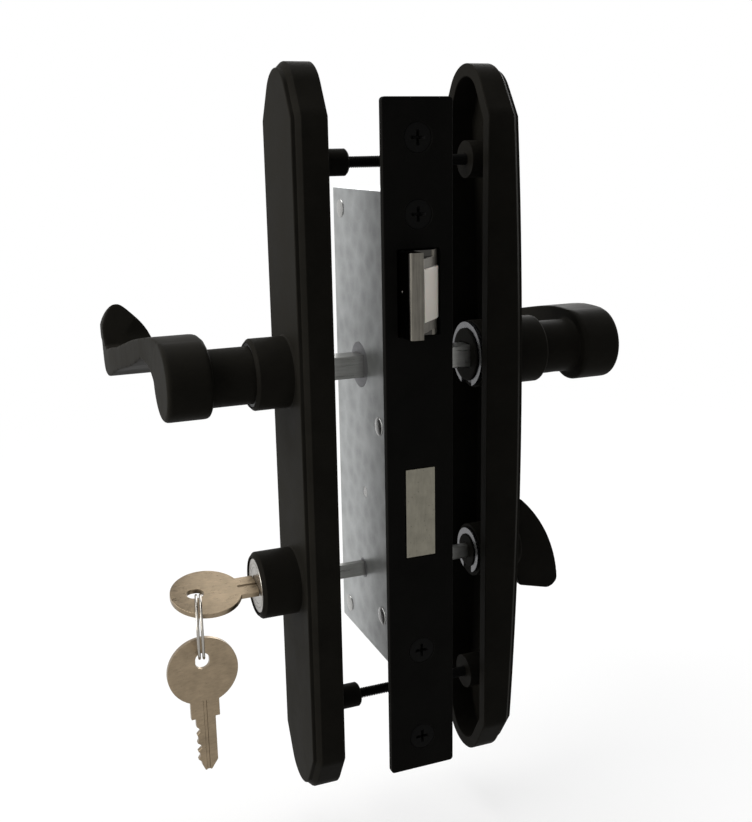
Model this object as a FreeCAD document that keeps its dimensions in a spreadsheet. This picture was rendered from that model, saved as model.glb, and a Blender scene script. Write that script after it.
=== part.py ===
"""Storm door mortise lock set: a flush case in the door's edge, two long escutcheons, two wave levers,
a keyed cylinder with its two keys outside and a thumb turn inside.

X runs through the door (the keyed outside is -X), Y runs into the door from its edge, Z is up.
The origin is on the door's edge, behind the faceplate, half way between the two outer faceplate screws.
"""

import FreeCAD, Part
import math
import os

import Sketcher
from FreeCAD import Placement, Rotation, Vector

doc = FreeCAD.newDocument("storm_door_lock_set")
sheet = doc.addObject("Spreadsheet::Sheet", "sizes")


class Size(float):
    """A number that remembers the sheet formula it came from, so that it can be bound as one."""

    def __new__(cls, value, text):
        made = super().__new__(cls, value)
        made.text = text
        return made

    def __add__(self, other):
        return Size(float(self) + float(other), f"({self.text} + {formula(other)})")

    def __radd__(self, other):
        return Size(float(other) + float(self), f"({formula(other)} + {self.text})")

    def __sub__(self, other):
        return Size(float(self) - float(other), f"({self.text} - {formula(other)})")

    def __rsub__(self, other):
        return Size(float(other) - float(self), f"({formula(other)} - {self.text})")

    def __mul__(self, other):
        return Size(float(self) * float(other), f"({self.text} * {formula(other)})")

    def __rmul__(self, other):
        return Size(float(other) * float(self), f"({formula(other)} * {self.text})")

    def __truediv__(self, other):
        return Size(float(self) / float(other), f"({self.text} / {formula(other)})")

    def __neg__(self):
        return Size(-float(self), f"(0 - {self.text})")


def formula(number):
    """The sheet formula of a size, or the digits of a plain number."""
    if isinstance(number, Size):
        return number.text
    return f"({float(number):.6f})"


def cosine(angle):
    """The cosine of a size in degrees, as a size."""
    return Size(math.cos(math.radians(angle)), f"cos({formula(angle)})")


def sine(angle):
    """The sine of a size in degrees, as a size."""
    return Size(math.sin(math.radians(angle)), f"sin({formula(angle)})")


aliases = []


def size(alias, value, meaning):
    """One driving dimension: a row of the sheet with its name, its value and what it is."""
    aliases.append(alias)
    row = len(aliases)
    sheet.set(f"A{row}", meaning)
    sheet.set(f"B{row}", str(value))
    sheet.setAlias(f"B{row}", alias)
    return Size(value, f"sizes.{alias}")


# Clearances
running_gap = size("running_gap", 0.05, "radial clearance of a turning fit")
loose_gap = size("loose_gap", 0.35, "clearance all round a sliding bolt")
fixed_gap = size("fixed_gap", 0.05, "clearance of a screw, rivet or pressed piece in its hole")
overcut = size("overcut", 1.0, "a cut runs this far past the face that it opens")

# Faceplate and its screws
plate_width = size("plate_width", 24.0, "faceplate width")
plate_length = size("plate_length", 231.5, "faceplate length")
plate_thickness = size("plate_thickness", 2.5, "faceplate thickness")
plate_corner = size("plate_corner", 1.2, "corner radius of the faceplate")
door_screw_spacing = size("door_screw_spacing", 207.0, "distance between the screws into the door")
case_screw_spacing = size("case_screw_spacing", 150.0, "distance between the screws into the case")
case_rise = size("case_rise", 5.0, "middle of the case above the middle of the faceplate")
head_radius = size("head_radius", 4.7, "radius of a faceplate screw's flat head")
screw_radius = size("screw_radius", 2.1, "radius of a faceplate screw's shank")
door_screw_length = size("door_screw_length", 22.0, "length of a door screw behind the faceplate")
case_screw_length = size("case_screw_length", 9.0, "length of a case screw behind the faceplate")
recess_span = size("recess_span", 5.0, "span of a screw's cross recess")
recess_width = size("recess_width", 1.0, "width of a screw's cross recess")
recess_depth = size("recess_depth", 1.8, "depth of a screw's cross recess")

# Case
case_thickness = size("case_thickness", 18.0, "thickness of the case through the door")
case_depth = size("case_depth", 52.0, "depth of the case behind the faceplate")
case_height = size("case_height", 164.0, "height of the case")
case_sheet = size("case_sheet", 1.5, "sheet thickness of the case and its cover")
case_front = size("case_front", 2.0, "thickness of the case's front wall")
lug_radius = size("lug_radius", 4.2, "radius of the case's screw lugs")
lug_length = size("lug_length", 7.0, "length of the case's screw lugs")
rivet_radius = size("rivet_radius", 2.0, "radius of a case rivet")
rivet_head = size("rivet_head", 3.2, "radius of a rivet head")
rivet_head_height = size("rivet_head_height", 0.6, "height of a rivet head")
rivet_inset = size("rivet_inset", 7.0, "rivets in from the case's top, bottom and back")
rivet_front = size("rivet_front", 12.0, "front rivets behind the door's edge")

# Places of the spindle and of the lock, which the faceplate, case and escutcheons share
backset = size("backset", 31.75, "spindle behind the faceplate's outer face")
spindle_rise = size("spindle_rise", 26.75, "spindle above the middle of the faceplate")
lock_spacing = size("lock_spacing", 76.2, "lock cylinder below the spindle")

# Latch bolt
latch_rise = size("latch_rise", 28.4, "latch bolt above the spindle")
latch_width = size("latch_width", 14.2, "latch bolt width through the door")
latch_height = size("latch_height", 27.4, "latch bolt height")
latch_reach = size("latch_reach", 9.5, "latch nose in front of the faceplate")
latch_nose = size("latch_nose", 4.5, "width of the latch's flat nose")
latch_heel = size("latch_heel", 1.35, "the latch's slope ends this far behind the faceplate's outer face")
latch_body = size("latch_body", 16.0, "latch bolt behind the door's edge")
latch_shoulder = size("latch_shoulder", 2.0, "the sloping part is this much lower at its top and bottom")
latch_cap_sheet = size("latch_cap_sheet", 0.8, "sheet thickness of the latch's steel cap")
latch_cap_back = size("latch_cap_back", 6.0, "the cap's long side ends behind the door's edge")
insert_height = size("insert_height", 17.0, "height of the nylon insert")
insert_proud = size("insert_proud", 1.3, "the insert stands out of the slope at its heel")
insert_back = size("insert_back", 3.0, "the insert's back is behind the door's edge")
tail_width = size("tail_width", 5.0, "width of the latch's tail")
tail_height = size("tail_height", 8.0, "height of the latch's tail")
lug_front = size("lug_front", 27.4, "the latch tail's driven lug starts behind the door's edge")
lug_above = size("lug_above", 15.0, "the lug's lower end above the spindle")
tail_rod = size("tail_rod", 2.0, "radius of the tail's round end in the case's back")
spring_wire = size("spring_wire", 0.8, "wire thickness of the latch spring")
spring_radius = size("spring_radius", 3.2, "radius of the latch spring at its wire's middle")
spring_turns = size("spring_turns", 7.0, "turns of the latch spring")
lug_plate = size("lug_plate", 3.5, "thickness of the latch tail's driven lug")

# Follower hub and levers
lever_turn = size("lever_turn", 35.0, "turn of the levers in degrees")
hub_radius = size("hub_radius", 9.5, "radius of the follower hub")
hub_journal = size("hub_journal", 8.0, "radius of the hub's bearings in the case")
hub_arm_length = size("hub_arm_length", 18.5, "hub centre to the end of its arm")
hub_arm_width = size("hub_arm_width", 5.0, "thickness of the hub's arm")
hub_arm_breadth = size("hub_arm_breadth", 6.0, "breadth of the hub's arm through the door")
spindle_side = size("spindle_side", 7.9, "side of the square spindle")
spindle_short = size("spindle_short", 2.0, "the square spindle ends short of a lever's head")
neck_radius = size("neck_radius", 9.85, "radius of a lever's neck")
neck_reach = size("neck_reach", 14.3, "a lever's neck outside its collar")
head_round = size("head_round", 13.2, "radius of a lever's round head")
head_width = size("head_width", 15.3, "width of a lever's head")
head_edge = size("head_edge", 1.5, "rounding of the lever's edges")
grip_width = size("grip_width", 20.0, "width of the lever's grip at its trough")
grip_length = size("grip_length", 113.0, "spindle to the tip of the lever")
grip_out = size("grip_out", 3.5, "the grip's trough stands further out than the head")
tip_start = size("tip_start", 94.9, "spindle to where the grip's turned-up tip starts")
tip_turn = size("tip_turn", 10.0, "degrees that the tip's near face is turned outwards")
tip_lean = size("tip_lean", 14.0, "degrees that the tip's near face leans back")
ring_wire = size("ring_wire", 1.4, "thickness of a lever's retaining ring")
ring_groove = size("ring_groove", 1.2, "depth of the retaining ring's groove")
ring_stand = size("ring_stand", 2.0, "a retaining ring stands out of the neck")
end_play = size("end_play", 0.3, "end play of a turning piece")
set_screw_radius = size("set_screw_radius", 2.5, "radius of the inside lever's set screw")
set_screw_key = size("set_screw_key", 2.5, "width of the set screw's hexagon socket")
set_screw_sunk = size("set_screw_sunk", 0.6, "the set screw lies inside the neck's surface")

# Escutcheons
door_outside = size("door_outside", 24.4, "outside door face from the faceplate's middle")
door_inside = size("door_inside", 32.0, "inside door face from the faceplate's middle")
shield_width = size("shield_width", 35.6, "escutcheon width")
shield_length = size("shield_length", 260.0, "escutcheon length")
shield_drop = size("shield_drop", 2.0, "escutcheon's middle below the faceplate's middle")
shield_thickness = size("shield_thickness", 11.7, "outside escutcheon's thickness")
shield_wall = size("shield_wall", 2.5, "escutcheon's wall")
shield_arc = size("shield_arc", 13.3, "radius of the arc on an escutcheon's end")
shield_slope = size("shield_slope", 60.0, "slope in degrees of the flank beside that arc")
face_inset = size("face_inset", 1.9, "the raised face is this much smaller all round")
face_step = size("face_step", 1.3, "height of the step round the raised face")
rim_bevel = size("rim_bevel", 1.6, "bevel round the escutcheon's side wall")
inside_thickness = size("inside_thickness", 15.4, "inside escutcheon's thickness in its middle")
crown = size("crown", 4.2, "the inside escutcheon's face is this much higher in its middle")
collar_radius = size("collar_radius", 12.3, "radius of a lever's collar")
collar_reach = size("collar_reach", 13.4, "a lever's collar stands out of the escutcheon")
collar_bevel = size("collar_bevel", 1.2, "bevel on a collar's rim")
bush_wall = size("bush_wall", 1.2, "wall of a lever's nylon bush")
post_spacing = size("post_spacing", 196.0, "distance between the escutcheon bolts")
post_above = size("post_above", 9.0, "the upper escutcheon bolt passes over the case at this height")
post_radius = size("post_radius", 4.5, "radius of an escutcheon's bolt post")
post_reach = size("post_reach", 12.0, "the outside posts reach into the door")
bolt_radius = size("bolt_radius", 2.0, "radius of an escutcheon bolt")
bolt_grip = size("bolt_grip", 9.0, "an escutcheon bolt reaches into its post")
bolt_head = size("bolt_head", 3.9, "radius of an escutcheon bolt's head")
bolt_head_height = size("bolt_head_height", 2.4, "height of an escutcheon bolt's head")

# Lock cylinder, plug, keys
lock_collar_radius = size("lock_collar_radius", 11.9, "radius of the collar round the lock cylinder")
lock_collar_reach = size("lock_collar_reach", 14.3, "the cylinder's collar stands out of the escutcheon")
cylinder_radius = size("cylinder_radius", 10.0, "radius of the lock cylinder")
cylinder_recess = size("cylinder_recess", 0.4, "the cylinder's face lies inside its collar's rim")
cylinder_length = size("cylinder_length", 24.2, "length of the lock cylinder")
nut_wall = size("nut_wall", 3.1, "wall of the cylinder's nut at its corners")
plug_radius = size("plug_radius", 6.4, "radius of the cylinder's plug")
plug_tail = size("plug_tail", 3.4, "the plug stands out of the cylinder's back")
keyway_width = size("keyway_width", 2.4, "width of the keyway")
keyway_height = size("keyway_height", 8.0, "height of the keyway")
wafer_thickness = size("wafer_thickness", 1.0, "thickness of a wafer tumbler")
wafer_pitch = size("wafer_pitch", 3.2, "distance between wafer tumblers")
wafer_start = size("wafer_start", 4.0, "first wafer behind the plug's face")
wafer_breadth = size("wafer_breadth", 10.8, "breadth of a wafer tumbler")
wafer_depth = size("wafer_depth", 5.2, "depth of a wafer tumbler")
key_tilt = size("key_tilt", 14.0, "the keyway lies this many degrees off level, near side low")
key_thickness = size("key_thickness", 1.9, "key thickness")
bow_radius = size("bow_radius", 12.5, "radius of a key's round bow")
key_collar_width = size("key_collar_width", 10.2, "width of the key between bow and blade")
key_collar_end = size("key_collar_end", 17.85, "bow centre to the shoulder of the blade")
blade_length = size("blade_length", 20.5, "length of a key's blade")
blade_width = size("blade_width", 7.0, "width of a key's blade")
key_hole_place = size("key_hole_place", 3.9, "bow centre to the centre of the key's hole")
key_hole_length = size("key_hole_length", 6.0, "length of the key's hole along the key")
key_hole_width = size("key_hole_width", 5.0, "width of the key's hole across the key")
key_out = size("key_out", 18.0, "bow centre in front of the cylinder's face")
groove_width = size("groove_width", 1.1, "width of the groove in a key's blade")
groove_depth = size("groove_depth", 0.5, "depth of the groove in a key's blade")
groove_start = size("groove_start", 11.2, "bow centre to where that groove starts")
split_ring_radius = size("split_ring_radius", 10.7, "radius of the key ring at its wire's middle")
split_ring_wire = size("split_ring_wire", 1.0, "wire thickness of the key ring")
split_ring_pitch = size("split_ring_pitch", 1.45, "distance between the key ring's two turns")
split_ring_lean = size("split_ring_lean", 47.3, "degrees between the key's face and the ring's centre")
split_ring_yaw = size("split_ring_yaw", 11.5, "degrees that the key ring is turned about the upright")
key_hang = size("key_hang", 1.9, "the spare key's hole hangs this far below the ring's wire")

# Deadbolt and its drive
deadbolt_drop = size("deadbolt_drop", 46.1, "deadbolt below the spindle")
deadbolt_width = size("deadbolt_width", 10.6, "deadbolt width through the door")
deadbolt_height = size("deadbolt_height", 31.1, "deadbolt height")
deadbolt_body = size("deadbolt_body", 22.5, "deadbolt head behind the door's edge")
deadbolt_throw = size("deadbolt_throw", 13.0, "throw of the deadbolt")
deadbolt_end = size("deadbolt_end", 43.5, "end of the deadbolt's tail behind the door's edge")
deadbolt_tail = size("deadbolt_tail", 3.0, "thickness of the deadbolt's tail")
deadbolt_tail_height = size("deadbolt_tail_height", 18.0, "height of the deadbolt's tail")
prong_width = size("prong_width", 3.8, "width of each prong that the cam's pin runs between")
cam_radius = size("cam_radius", 7.0, "radius of the cam's hub")
cam_journal = size("cam_journal", 5.0, "radius of the cam's inside bearing")
cam_small_journal = size("cam_small_journal", 3.6, "radius of the cam's outside bearing")
cam_arm_width = size("cam_arm_width", 6.0, "width of the cam's arm")
cam_arm_sheet = size("cam_arm_sheet", 4.0, "thickness of the cam's arm")
cam_pin_radius = size("cam_pin_radius", 2.0, "radius of the cam's pin")
prong_gap = size("prong_gap", 0.65, "the prongs clear the cam's bearing by this")
leaf_sheet = size("leaf_sheet", 0.5, "sheet thickness of the friction leaf")
leaf_bow = size("leaf_bow", 1.0, "the friction leaf's strip lies above the deadbolt's tail")
leaf_rise = size("leaf_rise", 10.0, "height of the friction leaf's foot")
cam_pin_gap = size("cam_pin_gap", 0.45, "clearance each side of the cam's pin between the prongs")
bar_width = size("bar_width", 5.2, "width of the flat bar that joins plug, cam and thumb turn")
bar_hold = size("bar_hold", 2.6, "the flat bar reaches into the plug")
bar_thickness = size("bar_thickness", 2.5, "thickness of that flat bar")
guide_pin_place = size("guide_pin_place", 26.0, "the deadbolt's guide pin behind the door's edge")

# Thumb turn
turn_shank = size("turn_shank", 6.4, "radius of the thumb turn's shank")
turn_base = size("turn_base", 9.0, "radius of the thumb turn's round base")
turn_base_height = size("turn_base_height", 4.5, "height of the thumb turn's round base")
turn_flare = size("turn_flare", 2.6, "the paddle flares out over this height above the base")
turn_above = size("turn_above", 18.2, "the paddle's upper end above the lock")
turn_below = size("turn_below", 17.0, "the paddle's lower inner corner below the lock")
turn_heel = size("turn_heel", 20.0, "the paddle's lowest point below the lock")
turn_toe = size("turn_toe", 16.4, "the paddle's furthest point lies this far below the lock")
turn_heel_reach = size("turn_heel_reach", 11.8, "paddle's inner edge to its lowest point")
turn_reach = size("turn_reach", 16.6, "paddle's inner edge to its furthest point")
turn_back_arc = size("turn_back_arc", 52.0, "radius of the paddle's long curved back")
turn_toe_arc = size("turn_toe_arc", 4.8, "radius of the paddle's toe")
turn_thickness = size("turn_thickness", 7.0, "thickness of the paddle")
turn_boss = size("turn_boss", 10.0, "radius of the flat boss under the thumb turn")
clip_thickness = size("clip_thickness", 0.9, "thickness of the clips on the plug and the thumb turn")
clip_groove = size("clip_groove", 0.85, "depth of those clips' grooves")
clip_stand = size("clip_stand", 2.2, "those clips stand out of what they sit on")

# Places that follow from the sizes
spindle_y = backset - plate_thickness
spindle_z = spindle_rise
lock_z = spindle_z - lock_spacing
latch_z = spindle_z + latch_rise
deadbolt_z = spindle_z - deadbolt_drop
plate_face = -plate_thickness
case_half = case_thickness / 2
case_inner = case_half - case_sheet
case_top = case_rise + case_height / 2
case_bottom = case_rise - case_height / 2
outside_face = -(door_outside + shield_thickness)
inside_face = door_inside + inside_thickness
shield_z = -shield_drop

doc.recompute()


def bind(thing, path, amount):
    """Bind one property of a document object to a size."""
    thing.setExpression(path, formula(amount))


def place(thing, x, y, z):
    """Bind an object's position."""
    for axis, amount in zip("xyz", (x, y, z)):
        bind(thing, f".Placement.Base.{axis}", amount)


def block(name, x, y, z):
    """A box between the low and high value of each axis."""
    thing = doc.addObject("Part::Box", name)
    for side, (low, high) in zip(("Length", "Width", "Height"), (x, y, z)):
        bind(thing, side, high - low)
    place(thing, x[0], y[0], z[0])
    return thing


ALONG = {
    "X": Rotation(Vector(0, 1, 0), 90),
    "Y": Rotation(Vector(1, 0, 0), -90),
    "Z": Rotation(),
}


def rod(name, along, start, length, radius):
    """A cylinder that starts at a point and runs along +X, +Y or +Z."""
    thing = doc.addObject("Part::Cylinder", name)
    thing.Placement = Placement(Vector(), ALONG[along])
    bind(thing, "Radius", radius)
    bind(thing, "Height", length)
    place(thing, *start)
    return thing


def cone(name, along, start, length, radius, end_radius):
    """A cone that starts at a point with one radius and ends with another."""
    thing = doc.addObject("Part::Cone", name)
    thing.Placement = Placement(Vector(), ALONG[along])
    bind(thing, "Radius1", radius)
    bind(thing, "Radius2", end_radius)
    bind(thing, "Height", length)
    place(thing, *start)
    return thing


def join(name, *pieces):
    """Fuse pieces into one solid."""
    thing = doc.addObject("Part::MultiFuse", name)
    thing.Shapes = list(pieces)
    thing.Refine = True
    return thing


def cut(name, base, *tools):
    """Cut tools out of a base."""
    thing = doc.addObject("Part::Cut", name)
    thing.Base = base
    thing.Tool = tools[0] if len(tools) == 1 else join(f"{name}_tools", *tools)
    thing.Refine = True
    return thing


def common(name, first, second):
    """Keep what two solids share."""
    thing = doc.addObject("Part::Common", name)
    thing.Base = first
    thing.Tool = second
    thing.Refine = True
    return thing


def group(name, pieces):
    """Like fasteners as one sub-part of separate solids."""
    thing = doc.addObject("Part::Compound", name)
    thing.Links = pieces
    return thing


def tube(name, along, start, length, radius, bore):
    """A round tube."""
    return cut(
        name,
        rod(f"{name}_outside", along, start, length, radius),
        rod(f"{name}_bore", along, start, length, bore),
    )


PLANE_ROLE = {"XY": "XY_Plane", "XZ": "XZ_Plane", "YZ": "YZ_Plane"}


def sketch_on(body, name, plane, level):
    """An empty sketch on one of the body's origin planes, moved along that plane's axis to a level."""
    sketch = body.newObject("Sketcher::SketchObject", name)
    role = PLANE_ROLE[plane]
    origin_plane = [f for f in body.Origin.OriginFeatures if f.Role == role][0]
    sketch.AttachmentSupport = [(origin_plane, "")]
    sketch.MapMode = "FlatFace"
    bind(sketch, ".AttachmentOffset.Base.z", -level if plane == "XZ" else level)
    return sketch


def constrain(sketch, kind, amount, *points):
    """Add one dimension to a sketch and bind it."""
    index = sketch.addConstraint(Sketcher.Constraint(kind, *points, float(amount)))
    if isinstance(amount, Size):
        sketch.setExpression(f"Constraints[{index}]", amount.text)


def draw(sketch, corners, arcs=None):
    """Draw a closed outline. An entry of arcs, {corner index: radius}, rounds the edge that starts there:
    a positive radius bows to the right of the way from corner to corner, a negative one to the left."""
    arcs = arcs or {}
    count = len(corners)
    ends = []
    for index, corner in enumerate(corners):
        after = corners[(index + 1) % count]
        start = Vector(float(corner[0]), float(corner[1]), 0)
        stop = Vector(float(after[0]), float(after[1]), 0)
        if index not in arcs:
            sketch.addGeometry(Part.LineSegment(start, stop), False)
            ends.append((1, 2))
            continue
        radius = abs(float(arcs[index]))
        bows_right = float(arcs[index]) > 0
        chord = stop - start
        height = math.sqrt(radius**2 - (chord.Length / 2) ** 2)
        left = Vector(-chord.y, chord.x, 0).normalize()
        centre = (start + stop) / 2 + left * (height if bows_right else -height)
        first, last = (start, stop) if bows_right else (stop, start)
        angles = [math.atan2(p.y - centre.y, p.x - centre.x) for p in (first, last)]
        circle = Part.Circle(centre, Vector(0, 0, 1), radius)
        sketch.addGeometry(Part.ArcOfCircle(circle, *angles), False)
        ends.append((1, 2) if bows_right else (2, 1))
    for index in range(count):
        after = (index + 1) % count
        sketch.addConstraint(Sketcher.Constraint("Coincident", index, ends[index][1], after, ends[after][0]))
    for index, corner in enumerate(corners):
        constrain(sketch, "DistanceX", corner[0], -1, 1, index, ends[index][0])
        constrain(sketch, "DistanceY", corner[1], -1, 1, index, ends[index][0])
    for index, radius in arcs.items():
        constrain(sketch, "Radius", radius if float(radius) > 0 else -radius, index)


def prism(name, plane, corners, low, high, arcs=None):
    """A body padded from an outline on a plane, between two levels of that plane's axis."""
    body = doc.addObject("PartDesign::Body", name)
    sketch = sketch_on(body, f"{name}_outline", plane, low)
    draw(sketch, corners, arcs)
    pad = body.newObject("PartDesign::Pad", f"{name}_pad")
    pad.Profile = sketch
    pad.Reversed = plane == "XZ"
    bind(pad, "Length", high - low)
    sketch.Visibility = False
    return body


def flat_screw(name, z, length):
    """A flat-head cross-recess screw through the faceplate, its head flush with the outer face."""
    head = cone(
        f"{name}_head", "Y", (0, plate_face, z), plate_thickness, head_radius, screw_radius
    )
    inside_head = plate_thickness / 2
    shank = rod(f"{name}_shank", "Y", (0, -inside_head, z), inside_head + length, screw_radius)
    half = recess_span / 2
    slim = recess_width / 2
    depth = (plate_face - overcut, plate_face + recess_depth)
    upright = block(f"{name}_upright", (-slim, slim), depth, (z - half, z + half))
    level = block(f"{name}_level", (-half, half), depth, (z - slim, z + slim))
    return cut(name, join(f"{name}_solid", head, shank), upright, level)


def rectangle(low_u, high_u, low_v, high_v):
    """The four corners of a rectangle."""
    return [(low_u, low_v), (high_u, low_v), (high_u, high_v), (low_u, high_v)]


# Faceplate
screw_places = (
    ("door_upper", door_screw_spacing / 2),
    ("case_upper", case_rise + case_screw_spacing / 2),
    ("case_lower", case_rise - case_screw_spacing / 2),
    ("door_lower", -door_screw_spacing / 2),
)
plate_blank = doc.addObject("PartDesign::Body", "plate_blank")
plate_sketch = sketch_on(plate_blank, "plate_outline", "XZ", plate_face)
draw(plate_sketch, rectangle(-plate_width / 2, plate_width / 2, -plate_length / 2, plate_length / 2))
plate_pad = plate_blank.newObject("PartDesign::Pad", "plate_pad")
plate_pad.Profile = plate_sketch
plate_pad.Reversed = True
bind(plate_pad, "Length", plate_thickness)
doc.recompute()
corner_edges = [
    f"Edge{n}"
    for n, edge in enumerate(plate_pad.Shape.Edges, start=1)
    if abs(edge.Vertexes[0].Y - edge.Vertexes[-1].Y) > plate_thickness / 2
]
plate_rounding = plate_blank.newObject("PartDesign::Fillet", "plate_rounding")
plate_rounding.Base = (plate_pad, corner_edges)
bind(plate_rounding, "Radius", plate_corner)
latch_side = latch_width / 2 + loose_gap
latch_half = latch_height / 2 + loose_gap
deadbolt_side = deadbolt_width / 2 + loose_gap
deadbolt_half = deadbolt_height / 2 + loose_gap


def bolt_window(name, z, side, half, low, high):
    """The opening that a bolt slides through."""
    return block(name, (-side, side), (low, high), (z - half, z + half))


countersinks = []
for label, z in screw_places:
    countersinks.append(
        cone(
            f"{label}_countersink",
            "Y",
            (0, plate_face, z),
            plate_thickness,
            head_radius + fixed_gap,
            screw_radius + fixed_gap,
        )
    )
faceplate = cut(
    "faceplate",
    plate_blank,
    bolt_window("plate_latch_window", latch_z, latch_side, latch_half, plate_face, overcut),
    bolt_window("plate_deadbolt_window", deadbolt_z, deadbolt_side, deadbolt_half, plate_face, overcut),
    *countersinks,
)

door_screws = group(
    "faceplate_door_screws",
    [flat_screw(f"screw_{label}", z, door_screw_length) for label, z in screw_places if "door" in label],
)
case_screws = group(
    "faceplate_case_screws",
    [flat_screw(f"screw_{label}", z, case_screw_length) for label, z in screw_places if "case" in label],
)

# Case: a folded pan that is open on its inside, and a flat cover riveted over it
case_y = (0, case_depth)
case_z = (case_bottom, case_top)
pan_blank = block("pan_blank", (-case_half, case_inner), case_y, case_z)
pan_hollow = block(
    "pan_hollow",
    (-case_inner, case_half),
    (case_front, case_depth - case_sheet),
    (case_bottom + case_sheet, case_top - case_sheet),
)
rivet_places = (
    ("upper_back", case_depth - rivet_inset, case_top - rivet_inset),
    ("lower_back", case_depth - rivet_inset, case_bottom + rivet_inset),
    ("upper_front", rivet_front, spindle_z - hub_arm_length),
    ("lower_front", rivet_front, lock_z - rivet_front),
)


def rivet_holes(name, low, high):
    """The holes of the four case rivets and of the deadbolt's guide pin in one wall."""
    holes = []
    for label, y, z in rivet_places:
        holes.append(rod(f"{name}_{label}", "X", (low, y, z), high - low, rivet_radius + fixed_gap))
    guide = (low, guide_pin_place, deadbolt_z)
    holes.append(rod(f"{name}_guide", "X", guide, high - low, rivet_radius + fixed_gap))
    return holes


lugs = []
lug_holes = []
lug_end = case_front + lug_length
for label, z in screw_places:
    if "case" in label:
        lugs.append(rod(f"{label}_lug", "Y", (0, case_front / 2, z), lug_end - case_front / 2, lug_radius))
        lug_holes.append(rod(f"{label}_hole", "Y", (0, 0, z), lug_end + overcut, screw_radius + fixed_gap))
mortise_case = cut(
    "mortise_case",
    join("pan_with_lugs", cut("pan", pan_blank, pan_hollow), *lugs),
    rod("tail_rod_hole", "Y", (0, case_depth - case_sheet, latch_z), case_sheet, tail_rod + loose_gap),
    bolt_window("case_latch_window", latch_z, latch_side, latch_half, plate_face, case_front * 2),
    bolt_window("case_deadbolt_window", deadbolt_z, deadbolt_side, deadbolt_half, plate_face, case_front * 2),
    rod("pan_hub_bearing", "X", (-case_half, spindle_y, spindle_z), case_sheet, hub_journal + running_gap),
    rod("pan_cam_bearing", "X", (-case_half, spindle_y, lock_z), case_sheet, cam_small_journal + running_gap),
    *rivet_holes("pan_hole", -case_half, -case_inner),
    *lug_holes,
)
case_cover = cut(
    "case_cover",
    prism("cover_blank", "YZ", rectangle(*case_y, *case_z), case_inner, case_half),
    rod("cover_hub_bearing", "X", (case_inner, spindle_y, spindle_z), case_sheet, hub_journal + running_gap),
    rod("cover_cam_bearing", "X", (case_inner, spindle_y, lock_z), case_sheet, cam_journal + running_gap),
    *rivet_holes("cover_hole", case_inner, case_half),
)


def rivet(label, y, z):
    """A solid rivet through the case, with a low head each side."""
    shank = rod(f"rivet_{label}_shank", "X", (-case_half, y, z), case_thickness, rivet_radius)
    outer = rod(
        f"rivet_{label}_outer", "X", (-(case_half + rivet_head_height), y, z), rivet_head_height, rivet_head
    )
    inner = rod(f"rivet_{label}_inner", "X", (case_half, y, z), rivet_head_height, rivet_head)
    return join(f"rivet_{label}", shank, outer, inner)


case_rivets = group("case_rivets", [rivet(*entry) for entry in rivet_places])
bolt_guide_pin = rod(
    "bolt_guide_pin", "X", (-case_half, guide_pin_place, deadbolt_z), case_thickness, rivet_radius
)

# Follower hub: its arm leans towards the door's edge at rest and pulls the latch bolt's lug back
hub_half = case_inner - end_play
lean = lever_turn / 2
hub_arm = block(
    "hub_arm",
    (-hub_arm_breadth / 2, hub_arm_breadth / 2),
    (0, hub_arm_width),
    (0, hub_arm_length),
)
hub_arm.Placement = Placement(Vector(), Rotation(Vector(1, 0, 0), float(lean)))
bind(hub_arm, ".Placement.Rotation.Angle", lean)
place(
    hub_arm,
    -hub_arm_breadth / 2,
    spindle_y - cosine(lean) * hub_arm_width / 2,
    spindle_z - sine(lean) * hub_arm_width / 2,
)
spindle_hole = spindle_side / 2 + fixed_gap
bearing_half = case_half + running_gap
follower_hub = cut(
    "follower_hub",
    join(
        "hub_solid",
        rod("hub_drum", "X", (-hub_half, spindle_y, spindle_z), hub_half * 2, hub_radius),
        rod("hub_bearings", "X", (-bearing_half, spindle_y, spindle_z), bearing_half * 2, hub_journal),
        hub_arm,
    ),
    block(
        "hub_square",
        (-case_thickness, case_thickness),
        (spindle_y - spindle_hole, spindle_y + spindle_hole),
        (spindle_z - spindle_hole, spindle_z + spindle_hole),
    ),
)

# Latch bolt: core with tail and lug, steel cap over nose and slope, nylon insert in the slope
latch_low = latch_z - latch_height / 2
latch_high = latch_z + latch_height / 2
latch_left = -latch_width / 2
latch_right = latch_width / 2
nose_y = plate_face - latch_reach
nose_x = latch_left + latch_nose
heel_y = plate_face + latch_heel
core_profile = [
    (latch_left, nose_y + latch_cap_sheet),
    (nose_x - latch_cap_sheet / 2, nose_y + latch_cap_sheet),
    (latch_right - latch_cap_sheet, heel_y),
    (latch_right - latch_cap_sheet, latch_cap_back),
    (latch_right, latch_cap_back),
    (latch_right, latch_body),
    (latch_left, latch_body),
]
cap_profile = [
    (latch_left, nose_y),
    (nose_x, nose_y),
    (latch_right, heel_y),
    (latch_right, latch_cap_back),
    (latch_right - latch_cap_sheet, latch_cap_back),
    (latch_right - latch_cap_sheet, heel_y),
    (nose_x - latch_cap_sheet / 2, nose_y + latch_cap_sheet),
    (latch_left, nose_y + latch_cap_sheet),
]
insert_left = nose_x + latch_cap_sheet / 2
insert_profile = [
    (insert_left, nose_y + latch_cap_sheet / 2),
    (latch_right - insert_proud, heel_y - insert_proud * 2),
    (latch_right, heel_y - insert_proud / 2),
    (latch_right, insert_back),
    (insert_left, insert_back),
]
insert_low = latch_z - insert_height / 2
insert_high = latch_z + insert_height / 2


def latch_shoulders(name):
    """Two blocks that lower the sloping part in front of the faceplate."""
    x = (nose_x, latch_width)
    y = (nose_y - overcut, plate_face - latch_heel)
    upper = block(f"{name}_upper_shoulder", x, y, (latch_high - latch_shoulder, latch_high + overcut))
    lower = block(f"{name}_lower_shoulder", x, y, (latch_low - overcut, latch_low + latch_shoulder))
    return upper, lower


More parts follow.
